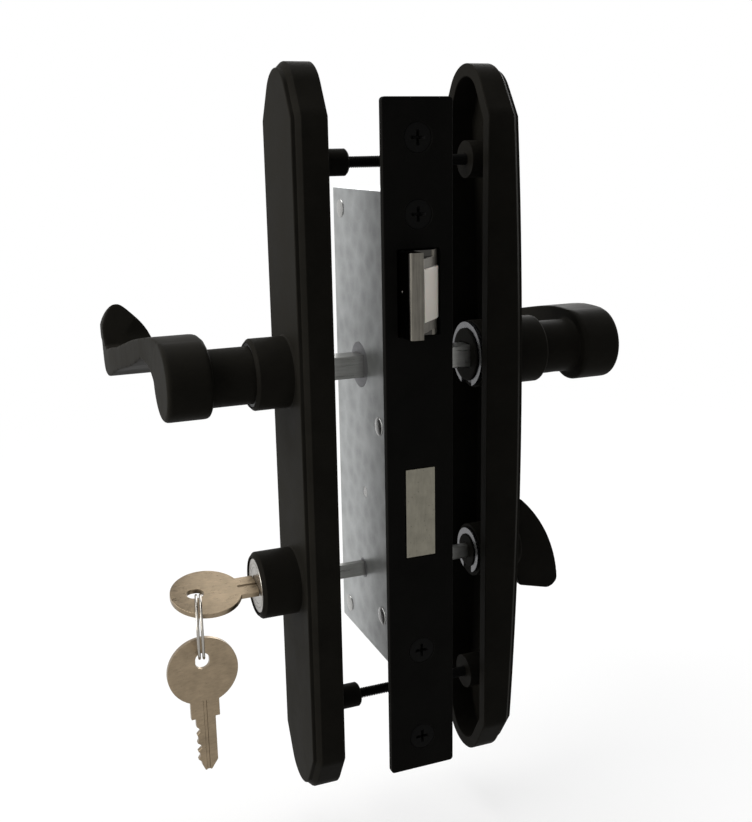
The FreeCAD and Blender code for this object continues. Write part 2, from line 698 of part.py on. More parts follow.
def insert_pocket(name):
    """The window that the nylon insert sits in."""
    return block(
        name,
        (insert_left - fixed_gap, latch_width),
        (nose_y - overcut, insert_back + fixed_gap),
        (insert_low - fixed_gap, insert_high + fixed_gap),
    )


lug_back = lug_front + lug_plate
latch_lug = block(
    "latch_lug",
    (-hub_arm_breadth / 2, hub_arm_breadth / 2),
    (lug_front, lug_back),
    (spindle_z + lug_above, latch_z),
)
latch_tail = block(
    "latch_tail",
    (-tail_width / 2, tail_width / 2),
    (latch_body / 2, lug_back),
    (latch_z - tail_height / 2, latch_z + tail_height / 2),
)
latch_rod = rod("latch_rod", "Y", (0, lug_front, latch_z), case_depth - end_play - lug_front, tail_rod)
latch_bolt = cut(
    "latch_bolt",
    join(
        "latch_solid",
        prism("latch_core", "XY", core_profile, latch_low, latch_high),
        latch_tail,
        latch_lug,
        latch_rod,
    ),
    insert_pocket("core_pocket"),
    *latch_shoulders("core"),
)
latch_cap = cut(
    "latch_cap",
    prism("cap_blank", "XY", cap_profile, latch_low, latch_high),
    insert_pocket("cap_pocket"),
    *latch_shoulders("cap"),
)
latch_insert = prism("latch_insert", "XY", insert_profile, insert_low, insert_high)

# Latch spring between the lug and the case's back wall: one helix, which arcs follow by half turns


POINTS_PER_ARC = 16


def arc_from(start, tangent, end):
    """The arc from one point, leaving along a tangent, to another point, and its tangent there."""
    chord = end - start
    half_turn = chord.getAngle(tangent)
    if half_turn < 1e-6:
        return Part.LineSegment(start, end).toShape()
    side = (tangent - chord * (tangent.dot(chord) / chord.dot(chord))).normalize()
    middle = (start + end) / 2 + side * (chord.Length / 2 * math.tan(half_turn / 2))
    return Part.Arc(start, middle, end).toShape()


def two_arcs(start, start_tangent, end, end_tangent):
    """Two arcs that join two points and keep the tangents at both."""
    chord = end - start
    a = 2 * (1 - start_tangent.dot(end_tangent))
    b = 2 * chord.dot(start_tangent + end_tangent)
    c = -chord.dot(chord)
    reach = -c / b if a < 1e-9 else (-b + math.sqrt(b * b - 4 * a * c)) / (2 * a)
    first_corner = start + start_tangent * reach
    second_corner = end - end_tangent * reach
    meeting = (first_corner + second_corner) / 2
    tangent = (second_corner - first_corner).normalize()
    return [arc_from(start, start_tangent, meeting), arc_from(meeting, tangent, end)]


def least_gap(edges, wire_radius, turn_radius):
    """The least gap between a coil's turns, measured between points along its middle line that lie half a
    turn or more apart."""
    points = []
    for edge in edges:
        points += edge.discretize(POINTS_PER_ARC)[:-1]
    spacing = sum(edge.Length for edge in edges) / len(points)
    half_turn = math.ceil(math.pi * turn_radius / spacing)
    least = min(
        (points[late] - points[early]).Length
        for early in range(len(points))
        for late in range(early + half_turn, len(points))
    )
    return least - 2 * wire_radius


def coil(name, stations, wire_radius, turn_radius):
    """A tube of wire through stations, each a point with its tangent."""
    edges = []
    for (start, start_tangent), (end, end_tangent) in zip(stations, stations[1:]):
        edges += two_arcs(start, start_tangent, end, end_tangent)
    print(f"{name}: least gap to itself {least_gap(edges, wire_radius, turn_radius):.2f} mm")
    circle = Part.Circle(stations[0][0], stations[0][1], wire_radius)
    pipe = Part.BRepOffsetAPI.MakePipeShell(Part.Wire(edges))
    pipe.add(Part.Wire([circle.toShape()]))
    pipe.build()
    pipe.makeSolid()
    return pipe.shape()


spring_start = float(lug_back + spring_wire / 2 + fixed_gap)
spring_end = float(case_depth - case_sheet - spring_wire / 2 - fixed_gap)
spring_pitch = (spring_end - spring_start) / float(spring_turns)
spring_mean = float(spring_radius)
spring_stations = []
for step in range(int(2 * float(spring_turns)) + 1):
    angle = math.pi * step
    across = Vector(math.cos(angle), 0, math.sin(angle))
    along = Vector(-math.sin(angle), 0, math.cos(angle)) * (2 * math.pi * spring_mean)
    centre = Vector(0, spring_start + spring_pitch * step / 2, float(latch_z))
    spring_stations.append((centre + across * spring_mean, (along + Vector(0, spring_pitch, 0)).normalize()))
latch_spring = doc.addObject("Part::Feature", "latch_spring")
latch_spring.Shape = coil("latch_spring", spring_stations, float(spring_wire) / 2, spring_mean)

# Deadbolt: a solid head, flush when drawn back, with a flat tail that the cam's pin works
tail_x = (-deadbolt_width / 2, deadbolt_tail - deadbolt_width / 2)
cam_arm = deadbolt_throw / math.sqrt(2)
pin_rest_y = spindle_y + deadbolt_throw / 2
pin_rest_z = lock_z + deadbolt_throw / 2
prong_low = lock_z + cam_small_journal + prong_gap
slot_half = cam_pin_radius + cam_pin_gap
tail_low = deadbolt_z - deadbolt_tail_height / 2
tail_high = deadbolt_z + deadbolt_tail_height / 2
guide_half = rivet_radius + loose_gap
guide_slot_end = guide_pin_place + deadbolt_throw
through_tail = (-deadbolt_width, 0)
deadbolt = cut(
    "deadbolt",
    join(
        "deadbolt_solid",
        block(
            "deadbolt_head",
            (-deadbolt_width / 2, deadbolt_width / 2),
            (plate_face, deadbolt_body),
            (deadbolt_z - deadbolt_height / 2, deadbolt_z + deadbolt_height / 2),
        ),
        block("deadbolt_tail_plate", tail_x, (deadbolt_body / 2, deadbolt_end), (tail_low, tail_high)),
        block(
            "deadbolt_prongs",
            tail_x,
            (pin_rest_y - slot_half - prong_width, pin_rest_y + slot_half + prong_width),
            (prong_low, deadbolt_z),
        ),
    ),
    block(
        "pin_slot",
        through_tail,
        (pin_rest_y - slot_half, pin_rest_y + slot_half),
        (prong_low - overcut, lock_z + cam_arm + slot_half + cam_pin_gap),
    ),
    block(
        "guide_slot",
        through_tail,
        (guide_pin_place, guide_slot_end),
        (deadbolt_z - guide_half, deadbolt_z + guide_half),
    ),
    rod("guide_slot_front", "X", (-deadbolt_width, guide_pin_place, deadbolt_z), deadbolt_width, guide_half),
    rod("guide_slot_back", "X", (-deadbolt_width, guide_slot_end, deadbolt_z), deadbolt_width, guide_half),
)

# Deadbolt cam: hub on the flat bar, arm with a pin between the prongs, 45 degrees back at rest
cam_left = tail_x[1] + loose_gap
cam_right = case_inner - end_play
cam_arm_block = block(
    "cam_arm_block",
    (cam_left, cam_left + cam_arm_sheet),
    (0, cam_arm_width),
    (0, cam_arm),
)
cam_arm_block.Placement = Placement(Vector(), Rotation(Vector(1, 0, 0), -45))
arm_shift = cam_arm_width / 2 / math.sqrt(2)
place(cam_arm_block, cam_left, spindle_y - arm_shift, lock_z + arm_shift)
cam_pin_start = tail_x[0] - end_play
deadbolt_cam = cut(
    "deadbolt_cam",
    join(
        "cam_solid",
        rod("cam_hub", "X", (cam_left, spindle_y, lock_z), cam_right - cam_left, cam_radius),
        rod("cam_inside_bearing", "X", (cam_right, spindle_y, lock_z), bearing_half - cam_right, cam_journal),
        rod(
            "cam_outside_bearing",
            "X",
            (-bearing_half, spindle_y, lock_z),
            bearing_half + cam_left,
            cam_small_journal,
        ),
        cam_arm_block,
        rod("cam_arm_end", "X", (cam_left, pin_rest_y, pin_rest_z), cam_arm_sheet, cam_arm_width / 2),
        rod(
            "cam_pin",
            "X",
            (cam_pin_start, pin_rest_y, pin_rest_z),
            cam_left - cam_pin_start,
            cam_pin_radius,
        ),
    ),
    block(
        "cam_bar_hole",
        (-case_thickness, case_thickness),
        (spindle_y - bar_thickness / 2 - fixed_gap, spindle_y + bar_thickness / 2 + fixed_gap),
        (lock_z - bar_width / 2 - fixed_gap, lock_z + bar_width / 2 + fixed_gap),
    ),
)

# Friction leaf on the case's back wall, which bears on the deadbolt's tail and holds it where it is put
leaf_foot = case_depth - case_sheet - fixed_gap
leaf_low = tail_high + leaf_bow
friction_leaf = join(
    "bolt_friction_leaf",
    block("leaf_strip", tail_x, (guide_pin_place, leaf_foot), (leaf_low, leaf_low + leaf_sheet)),
    rod("leaf_bump", "X", (tail_x[0], guide_pin_place, leaf_low), deadbolt_tail, leaf_bow - running_gap),
    block("leaf_foot", tail_x, (leaf_foot - leaf_sheet, leaf_foot), (leaf_low, leaf_low + leaf_rise)),
)


def shield_outline(inset):
    """Corners and arcs of an escutcheon's outline, drawn in by an inset. Each end has a straight flank
    on each side and an arc over the top, which the flanks meet at a tangent."""
    radius = shield_arc - inset
    side = shield_width / 2 - inset
    meet = radius * sine(shield_slope)
    meet_z = shield_length / 2 - shield_arc + radius * cosine(shield_slope)
    kink = meet_z - (side - meet) * sine(shield_slope) / cosine(shield_slope)
    corners = [
        (spindle_y - side, shield_z - kink),
        (spindle_y - meet, shield_z - meet_z),
        (spindle_y + meet, shield_z - meet_z),
        (spindle_y + side, shield_z - kink),
        (spindle_y + side, shield_z + kink),
        (spindle_y + meet, shield_z + meet_z),
        (spindle_y - meet, shield_z + meet_z),
        (spindle_y - side, shield_z + kink),
    ]
    return corners, {1: radius, 5: radius}


def shield_prism(name, inset, low, high):
    """A prism of the escutcheon's outline between two levels of X."""
    corners, arcs = shield_outline(inset)
    return prism(name, "YZ", corners, low, high, arcs)


def bevelled(name, base, level, amount):
    """Bevel the edges of a flat face that lies at one level of X."""
    doc.recompute()
    edges = [
        (n, float(amount), float(amount))
        for n, edge in enumerate(base.Shape.Edges, start=1)
        if max(abs(v.X - level) for v in edge.Vertexes) < 0.001
    ]
    thing = doc.addObject("Part::Chamfer", name)
    thing.Base = base
    thing.Edges = edges
    return thing


def collar(name, foot, rim, z, radius, bore):
    """A collar from its foot, inside the escutcheon, to its bevelled rim."""
    rim_radius = radius - collar_bevel
    if rim < foot:
        body = foot - rim - collar_bevel
        barrel = rod(f"{name}_barrel", "X", (rim + collar_bevel, spindle_y, z), body, radius)
        edge = cone(f"{name}_edge", "X", (rim, spindle_y, z), collar_bevel, rim_radius, radius)
        bored = rod(f"{name}_bore", "X", (rim, spindle_y, z), foot - rim, bore)
    else:
        body = rim - foot - collar_bevel
        barrel = rod(f"{name}_barrel", "X", (foot, spindle_y, z), body, radius)
        edge = cone(f"{name}_edge", "X", (foot + body, spindle_y, z), collar_bevel, radius, rim_radius)
        bored = rod(f"{name}_bore", "X", (foot, spindle_y, z), rim - foot, bore)
    return cut(name, join(f"{name}_solid", barrel, edge), bored)


upper_post = case_top + post_above
post_places = (
    ("upper", upper_post),
    ("lower", upper_post - post_spacing),
)
bush_radius = neck_radius + running_gap + bush_wall

# Outside escutcheon: a hollow casting with two bolt posts. The collars for the lever and the lock
# cylinder are turned tubes, pressed into it
outside_wall_top = outside_face + face_step
outside_rim = bevelled(
    "outside_rim",
    shield_prism("outside_blank", 0, outside_wall_top, -door_outside),
    float(outside_wall_top),
    rim_bevel,
)
outside_raised = shield_prism("outside_raised", face_inset, outside_face, -door_outside)
outside_ceiling = outside_face + shield_wall
outside_hollow = shield_prism(
    "outside_hollow", shield_wall + face_inset, outside_ceiling, overcut - door_outside
)
outside_shell = cut("outside_shell", join("outside_solid", outside_rim, outside_raised), outside_hollow)
boss_back = -door_outside - shield_wall
nut_thickness = shield_wall + face_step
nut_front = boss_back - nut_thickness
outside_rim_x = outside_face - collar_reach
lock_rim_x = outside_face - lock_collar_reach
outside_lever_collar = collar(
    "outside_lever_collar", boss_back, outside_rim_x, spindle_z, collar_radius, bush_radius + fixed_gap
)
cylinder_collar = collar(
    "cylinder_collar", nut_front, lock_rim_x, lock_z, lock_collar_radius, cylinder_radius + fixed_gap
)
post_start = outside_face + shield_wall / 2
post_end = post_reach - door_outside
outside_posts = []
outside_post_holes = []
for label, z in post_places:
    outside_posts.append(
        rod(f"post_{label}", "X", (post_start, spindle_y, z), post_end - post_start, post_radius)
    )
    outside_post_holes.append(
        rod(
            f"post_{label}_hole",
            "X",
            (outside_ceiling + shield_wall, spindle_y, z),
            shield_thickness + post_reach,
            bolt_radius + fixed_gap,
        )
    )
outside_hole = (outside_face - overcut, spindle_y)
through_outside = shield_thickness + overcut
outside_escutcheon = cut(
    "outside_escutcheon",
    join("outside_casting", outside_shell, *outside_posts),
    rod("lever_hole_out", "X", (*outside_hole, spindle_z), through_outside, collar_radius + fixed_gap),
    rod("lock_hole_out", "X", (*outside_hole, lock_z), through_outside, lock_collar_radius + fixed_gap),
    *outside_post_holes,
)

# Inside escutcheon: the same outline, its face crowned along its length
crown_half = shield_length / 2
crown_radius = (crown_half * crown_half + crown * crown) / (2 * crown)


def crowned_slab(name, top):
    """A slab wider than the escutcheon whose outer face is an arc, highest in the middle."""
    edge = top - crown
    corners = [
        (door_inside, shield_z - crown_half),
        (edge, shield_z - crown_half),
        (edge, shield_z + crown_half),
        (door_inside, shield_z + crown_half),
    ]
    return prism(name, "XZ", corners, spindle_y - shield_width, spindle_y + shield_width, {1: crown_radius})


inside_rim = common(
    "inside_rim",
    shield_prism("inside_blank", 0, door_inside, inside_face),
    crowned_slab("inside_rim_slab", inside_face - face_step - rim_bevel / 2),
)
inside_ledge = common(
    "inside_ledge",
    shield_prism("inside_ledge_blank", rim_bevel / 2, door_inside, inside_face),
    crowned_slab("inside_ledge_slab", inside_face - face_step),
)
inside_raised = common(
    "inside_raised",
    shield_prism("inside_raised_blank", face_inset, door_inside, inside_face),
    crowned_slab("inside_raised_slab", inside_face),
)
inside_hollow = common(
    "inside_hollow",
    shield_prism("inside_hollow_blank", shield_wall + face_inset, door_inside, inside_face),
    crowned_slab("inside_hollow_slab", inside_face - shield_wall),
)
inside_shell = cut(
    "inside_shell", join("inside_solid", inside_rim, inside_ledge, inside_raised), inside_hollow
)
inner_boss_back = door_inside + shield_wall
inside_rim_x = inside_face + collar_reach
turn_seat = inside_face
inside_lever_collar = collar(
    "inside_lever_collar", inner_boss_back, inside_rim_x, spindle_z, collar_radius, bush_radius + fixed_gap
)
thumb_turn_boss = tube(
    "thumb_turn_boss",
    "X",
    (inner_boss_back, spindle_y, lock_z),
    turn_seat - inner_boss_back,
    turn_boss,
    turn_shank + running_gap,
)
inside_posts = []
inside_post_holes = []
bolt_seat = inside_face - crown - bolt_head_height
inside_hole = (door_inside, spindle_y)
through_inside = inside_thickness + overcut
for label, z in post_places:
    name = f"inside_post_{label}"
    foot = (*inside_hole, z)
    seat = (bolt_seat, spindle_y, z)
    post_length = bolt_seat + bolt_head_height - door_inside
    inside_posts.append(rod(name, "X", foot, post_length, bolt_head + shield_wall))
    inside_post_holes.append(rod(f"{name}_hole", "X", foot, through_inside, bolt_radius + fixed_gap))
    inside_post_holes.append(rod(f"{name}_sink", "X", seat, through_inside, bolt_head + loose_gap))
inside_escutcheon = cut(
    "inside_escutcheon",
    join("inside_casting", inside_shell, *inside_posts),
    rod("lever_hole_in", "X", (*inside_hole, spindle_z), through_inside, collar_radius + fixed_gap),
    rod("turn_hole_in", "X", (*inside_hole, lock_z), through_inside, turn_boss + fixed_gap),
    *inside_post_holes,
)


def escutcheon_bolt(label, z):
    """A machine screw from the inside escutcheon into the outside escutcheon's post."""
    tip = post_end - bolt_grip
    shank = rod(f"bolt_{label}_shank", "X", (tip, spindle_y, z), bolt_seat - tip, bolt_radius)
    head = rod(f"bolt_{label}_head", "X", (bolt_seat, spindle_y, z), bolt_head_height, bolt_head)
    half = recess_span / 2
    slim = recess_width / 2
    depth = (bolt_seat + bolt_head_height - recess_depth, bolt_seat + bolt_head_height + overcut)
    upright = block(
        f"bolt_{label}_upright", depth, (spindle_y - slim, spindle_y + slim), (z - half, z + half)
    )
    level = block(f"bolt_{label}_level", depth, (spindle_y - half, spindle_y + half), (z - slim, z + slim))
    return cut(f"bolt_{label}", join(f"bolt_{label}_solid", shank, head), upright, level)


escutcheon_bolts = group("escutcheon_bolts", [escutcheon_bolt(*entry) for entry in post_places])

# Nylon bushes that the levers' necks turn in
bush_bore = neck_radius + running_gap
out_bush_start = outside_rim_x + collar_bevel / 2
outside_bush = tube(
    "outside_lever_bush",
    "X",
    (out_bush_start, spindle_y, spindle_z),
    boss_back - out_bush_start,
    bush_radius,
    bush_bore,
)
in_bush_end = inside_rim_x - collar_bevel / 2
inside_bush = tube(
    "inside_lever_bush",
    "X",
    (inner_boss_back, spindle_y, spindle_z),
    in_bush_end - inner_boss_back,
    bush_radius,
    bush_bore,
)

# Lock cylinder in its collar, held by a nut behind it
cylinder_face = lock_rim_x + cylinder_recess
cylinder_back = cylinder_face + cylinder_length
lock_cylinder = tube(
    "lock_cylinder",
    "X",
    (cylinder_face, spindle_y, lock_z),
    cylinder_length,
    cylinder_radius,
    plug_radius + running_gap,
)


def hexagon(centre_u, centre_v, corner_radius):
    """The six corners of a hexagon."""
    corners = []
    for side in range(6):
        angle = math.radians(60 * side)
        across = corner_radius * math.cos(angle)
        up = corner_radius * math.sin(angle)
        corners.append((centre_u + across, centre_v + up))
    return corners


nut_corners = hexagon(spindle_y, lock_z, cylinder_radius + nut_wall)
cylinder_nut = cut(
    "cylinder_nut",
    prism("nut_blank", "YZ", nut_corners, nut_front, boss_back),
    rod("nut_bore", "X", (nut_front, spindle_y, lock_z), nut_thickness, cylinder_radius + fixed_gap),
)

# Plug and wafers are drawn level about the X axis, then turned to the keyway's tilt
tilt = Rotation(Vector(1, 0, 0), float(key_tilt))


def tilted(thing):
    """Move a piece drawn about the X axis to the lock's axis and turn it to the keyway's tilt."""
    thing.Placement = Placement(Vector(), tilt)
    bind(thing, ".Placement.Rotation.Angle", key_tilt)
    bind(thing, ".Placement.Base.y", spindle_y)
    bind(thing, ".Placement.Base.z", lock_z)
    return thing


wafer_count = 5
plug_back = cylinder_back + plug_tail
wafer_slots = []
wafers = []
for number in range(wafer_count):
    start = cylinder_face + wafer_start + wafer_pitch * number
    slot_x = (start - fixed_gap, start + wafer_thickness + fixed_gap)
    slot_y = wafer_breadth / 2 + fixed_gap
    slot_z = wafer_depth / 2 + fixed_gap
    wafer_slots.append(block(f"wafer_slot_{number}", slot_x, (-slot_y, slot_y), (-slot_z, slot_z)))
    wafer_x = (start, start + wafer_thickness)
    window_y = keyway_height / 2
    window_z = keyway_width / 2
    wafers.append(
        cut(
            f"wafer_{number}",
            block(
                f"wafer_{number}_plate",
                wafer_x,
                (-wafer_breadth / 2, wafer_breadth / 2),
                (-wafer_depth / 2, wafer_depth / 2),
            ),
            block(f"wafer_{number}_window", wafer_x, (-window_y, window_y), (-window_z, window_z)),
        )
    )
clip_place = cylinder_back + end_play
clip_space = clip_thickness + fixed_gap * 2
clip_seat = plug_radius - clip_groove
bar_start = plug_back - bar_hold
cylinder_plug = cut(
    "cylinder_plug",
    tilted(
        cut(
            "plug_body",
            rod("plug_solid", "X", (cylinder_face, 0, 0), plug_back - cylinder_face, plug_radius),
            block(
                "keyway",
                (cylinder_face, bar_start - wafer_thickness),
                (-keyway_height / 2, keyway_height / 2),
                (-keyway_width / 2, keyway_width / 2),
            ),
            tube("clip_groove", "X", (clip_place, 0, 0), clip_space, cylinder_radius, clip_seat),
            *wafer_slots,
        )
    ),
    block(
        "plug_bar_slot",
        (bar_start - fixed_gap, plug_back),
        (spindle_y - bar_thickness / 2 - fixed_gap, spindle_y + bar_thickness / 2 + fixed_gap),
        (lock_z - bar_width / 2 - fixed_gap, lock_z + bar_width / 2 + fixed_gap),
    ),
)
wafer_tumblers = tilted(group("wafer_tumblers", wafers))
plug_clip = cut(
    "plug_clip",
    tube(
        "plug_clip_ring",
        "X",
        (clip_place + fixed_gap, spindle_y, lock_z),
        clip_thickness,
        plug_radius + clip_stand,
        clip_seat + fixed_gap,
    ),
    block(
        "plug_clip_gap",
        (clip_place, clip_place + clip_thickness * 2),
        (spindle_y - plug_radius / 2, spindle_y + plug_radius / 2),
        (lock_z - plug_radius * 2, lock_z),
    ),
)

# Flat bar from the plug through the cam to the thumb turn
bar_end = turn_seat
lock_bar = block(
    "lock_bar",
    (bar_start, bar_end),
    (spindle_y - bar_thickness / 2, spindle_y + bar_thickness / 2),
    (lock_z - bar_width / 2, lock_z + bar_width / 2),
)

# Thumb turn: shank in the escutcheon's boss, round base, and a flat paddle shaped like a sail
turn_start = turn_seat + end_play
turn_inner = inner_boss_back - clip_thickness - end_play * 2
paddle_foot = turn_start + turn_base_height
paddle_edge = paddle_foot + turn_flare
paddle_corners = [
    (paddle_foot, lock_z - turn_base),
    (paddle_edge, lock_z - turn_below),
    (paddle_edge + turn_heel_reach, lock_z - turn_heel),
    (paddle_edge + turn_reach, lock_z - turn_toe),
    (paddle_edge, lock_z + turn_above),
    (paddle_foot, lock_z + turn_base),
]
paddle = prism(
    "paddle",
    "XZ",
    paddle_corners,
    spindle_y - turn_thickness / 2,
    spindle_y + turn_thickness / 2,
    {2: turn_toe_arc, 3: turn_back_arc},
)
clip_start = inner_boss_back - end_play / 2 - clip_thickness
thumb_turn = cut(
    "thumb_turn",
    join(
        "turn_solid",
        rod("turn_shank_rod", "X", (turn_inner, spindle_y, lock_z), turn_start - turn_inner, turn_shank),
        rod("turn_base_disc", "X", (turn_start, spindle_y, lock_z), turn_base_height, turn_base),
        paddle,
    ),
    block(
        "turn_bar_hole",
        (turn_inner, bar_end + fixed_gap),
        (spindle_y - bar_thickness / 2 - fixed_gap, spindle_y + bar_thickness / 2 + fixed_gap),
        (lock_z - bar_width / 2 - fixed_gap, lock_z + bar_width / 2 + fixed_gap),
    ),
    tube(
        "turn_groove",
        "X",
        (clip_start - fixed_gap, spindle_y, lock_z),
        clip_space,
        turn_base,
        turn_shank - clip_groove,
    ),
)
thumb_turn_clip = cut(
    "thumb_turn_clip",
    tube(
        "turn_clip_round",
        "X",
        (clip_start, spindle_y, lock_z),
        clip_thickness,
        turn_shank + clip_stand,
        turn_shank - clip_groove + fixed_gap,
    ),
    block(
        "turn_clip_gap",
        (clip_start, clip_start + clip_thickness),
        (spindle_y - turn_shank / 2, spindle_y + turn_shank / 2),
        (lock_z - turn_base * 2, lock_z),
    ),
)

# Square spindle through the hub into both levers, and what holds the levers
out_neck_end = outside_rim_x - neck_reach
in_neck_end = inside_rim_x + neck_reach
lever_spindle = block(
    "lever_spindle",
    (out_neck_end + spindle_short, in_neck_end - spindle_short),
    (spindle_y - spindle_side / 2, spindle_y + spindle_side / 2),
    (spindle_z - spindle_side / 2, spindle_z + spindle_side / 2),
)
groove_radius = neck_radius - ring_groove
out_ring_start = boss_back + end_play
in_ring_start = inner_boss_back - end_play - ring_wire
lever_rings = []
for label, start in (("outside", out_ring_start), ("inside", in_ring_start)):
    lever_rings.append(
        cut(
            f"{label}_lever_ring",
            tube(
                f"{label}_ring_round",
                "X",
                (start, spindle_y, spindle_z),
                ring_wire,
                neck_radius + ring_stand,
                groove_radius + fixed_gap,
            ),
            block(
                f"{label}_ring_gap",
                (start, start + ring_wire),
                (spindle_y - ring_stand * 2, spindle_y + ring_stand * 2),
                (spindle_z - neck_radius * 2, spindle_z),
            ),
        )
    )
set_screw_place = in_neck_end - neck_reach / 2
set_screw_end = spindle_z - spindle_side / 2 - fixed_gap
lever_set_screw = cut(
    "lever_set_screw",
    rod(
        "set_screw_rod",
        "Z",
        (set_screw_place, spindle_y, spindle_z - neck_radius + set_screw_sunk),
        set_screw_end - spindle_z + neck_radius - set_screw_sunk,
        set_screw_radius,
    ),
    prism(
        "set_screw_socket",
        "XY",
        hexagon(set_screw_place, spindle_y, set_screw_key / math.sqrt(3)),
        spindle_z - neck_radius,
        spindle_z - neck_radius + set_screw_sunk + set_screw_key,
    ),
)

# The levers' side view as shares of the grip's length and of the head's radius, once round: along the top,
# up and over the turned-up tip, back along the trough, and over the arch beside the head
WAVE = [
    (0.000, 1.000),
    (0.106, 1.000),
    (0.265, 0.788),
    (0.400, 0.560),
    (0.566, 0.212),
    (0.708, -0.076),
    (0.840, -0.303),
    (0.890, -0.340),
    (0.915, -0.050),
    (0.925, 0.500),
    (0.950, 0.930),
    (0.985, 0.650),
    (1.000, 0.050),
    (0.985, -0.620),
    (0.962, -1.120),
    (0.893, -1.245),
    (0.752, -0.920),
    (0.544, -0.455),
    (0.358, 0.000),
    (0.274, 0.205),
    (0.218, 0.190),
    (0.147, 0.045),
    (0.080, -0.300),
    (0.000, -0.400),
]


# The turned-up tip seen along the grip, as shares of the grip's width and of the head's radius
TIP = [
    (0.000, -0.300),
    (0.153, 0.200),
    (0.421, 0.660),
    (0.704, 0.930),
    (0.924, 0.600),
    (1.000, -0.200),
]

# Foot of the turned-up tip's near face, on the side view
TIP_FOOT = (0.890, -0.340)


def smooth(points, closed=False):
    """A smooth curve through points."""
    curve = Part.BSplineCurve()
    curve.interpolate(points, PeriodicFlag=closed)
    return curve.toShape()


def face_of(*edges):
    """A flat face inside edges."""
    return Part.Face(Part.Wire(list(edges)))


def straight(start, end):
    """A straight edge."""
    return Part.LineSegment(start, end).toShape()


def lever(name, neck_start, neck_end, direction, *cuts):
    """A cast wave lever: a neck, a round head and a grip that flares towards its turned-up tip, whose near
    face is dressed flat. direction is -1 for the outside lever and +1 for the inside one."""
    y = float(spindle_y)
    z = float(spindle_z)
    near = float(neck_end)
    reach = float(grip_length)
    tip_y = float(tip_start)
    radius = float(head_round)
    width = float(head_width)
    outer = width + float(grip_out)
    inner = outer - float(grip_width)
    beyond = reach + radius
    deep = 3 * radius

    def at(out, along, up):
        return Vector(near + direction * out, y + along, z + up)

    side_view = smooth([at(0, reach * along, radius * up) for along, up in WAVE], True)
    ribbon = face_of(side_view).extrude(Vector(direction * 3 * width, 0, 0))
    ribbon.translate(Vector(-direction * width, 0, 0))

    plan = face_of(
        smooth([at(width, -radius, 0), at(width, radius, 0), at(outer, tip_y, 0), at(outer, beyond, 0)]),
        straight(at(outer, beyond, 0), at(inner, beyond, 0)),
        smooth([at(0, -radius, 0), at(0, radius, 0), at(inner, tip_y, 0), at(inner, beyond, 0)]),
        straight(at(0, -radius, 0), at(width, -radius, 0)),
    )
    plan.translate(Vector(0, 0, -deep))
    ribbon = ribbon.common(plan.extrude(Vector(0, 0, 2 * deep)))

    end_view = [at(inner + (outer - inner) * out, tip_y, radius * up) for out, up in TIP]
    tip_keep = face_of(
        smooth(end_view),
        straight(end_view[-1], at(outer, tip_y, -deep)),
        straight(at(outer, tip_y, -deep), at(inner, tip_y, -deep)),
        straight(at(inner, tip_y, -deep), end_view[0]),
    ).extrude(Vector(0, beyond - tip_y, 0))
    grip_keep = Part.makeBox(6 * width, 2 * radius + tip_y, 2 * deep)
    grip_keep.translate(Vector(near - 3 * width, y - 2 * radius, z - deep))
    ribbon = ribbon.common(grip_keep).fuse(ribbon.common(tip_keep))

    aside = at(outer, 0, 0) - at(inner, 0, 0)
    aside.y = aside.Length * math.tan(math.radians(float(tip_turn)))
    rise = Vector(0, deep * math.tan(math.radians(float(tip_lean))), deep)
    foot = at(inner, reach * TIP_FOOT[0], radius * TIP_FOOT[1]) - aside / 5
    end = at(outer, reach * TIP_FOOT[0] + aside.y, radius * TIP_FOOT[1]) + aside / 5
    near_face = Part.Face(Part.makePolygon([foot, end, end + rise, foot + rise, foot]))
    ribbon = ribbon.cut(near_face.extrude(Vector(0, -radius / 2, radius / 16)))

    axis = Vector(direction, 0, 0)
    head = Part.makeCylinder(radius, width, Vector(near, y, z), axis)
    rims = [edge for edge in head.Edges if edge.Closed]
    head = head.makeFillet(float(head_edge), rims)
    start = float(neck_start)
    into_head = width / 2
    neck = Part.makeCylinder(float(neck_radius), abs(near - start) + into_head, Vector(start, y, z), axis)
    solid = head.fuse([neck, ribbon]).removeSplitter()

    hole = float(spindle_hole)
    socket_end = near - direction * float(spindle_short - end_play)
    socket_start = start - direction * float(overcut)
    socket = Part.makeBox(abs(socket_end - socket_start), 2 * hole, 2 * hole)
    socket.translate(Vector(min(socket_start, socket_end), y - hole, z - hole))
    solid = solid.cut(socket)
    for tool in cuts:
        solid = solid.cut(tool)
    thing = doc.addObject("Part::Feature", name)
    thing.Shape = solid
    return thing


def ring_groove_cut(start):
    """The groove that a retaining ring sits in."""
    low = float(start - fixed_gap)
    wide = float(ring_wire + fixed_gap * 2)
    centre = Vector(low, float(spindle_y), float(spindle_z))
    outer = Part.makeCylinder(float(neck_radius + overcut), wide, centre, Vector(1, 0, 0))
    return outer.cut(Part.makeCylinder(float(groove_radius), wide, centre, Vector(1, 0, 0)))


set_screw_hole = Part.makeCylinder(
    float(set_screw_radius + fixed_gap),
    float(neck_radius),
    Vector(float(set_screw_place), float(spindle_y), float(spindle_z - neck_radius - overcut)),
)
out_neck_start = boss_back + shield_wall - fixed_gap * 2
in_neck_start = inner_boss_back - shield_wall + fixed_gap * 2
outside_lever = lever("outside_lever", out_neck_start, out_neck_end, -1, ring_groove_cut(out_ring_start))
inside_lever = lever(
    "inside_lever", in_neck_start, in_neck_end, 1, ring_groove_cut(in_ring_start), set_screw_hole
)

# Keys: flat stamped blanks, drawn with the bow's centre at the origin and the blade along +X.
# Cuts for the wafers are along the edge towards -Y
BITTING = (1.1, 0.5, 1.4, 0.8, 1.2)


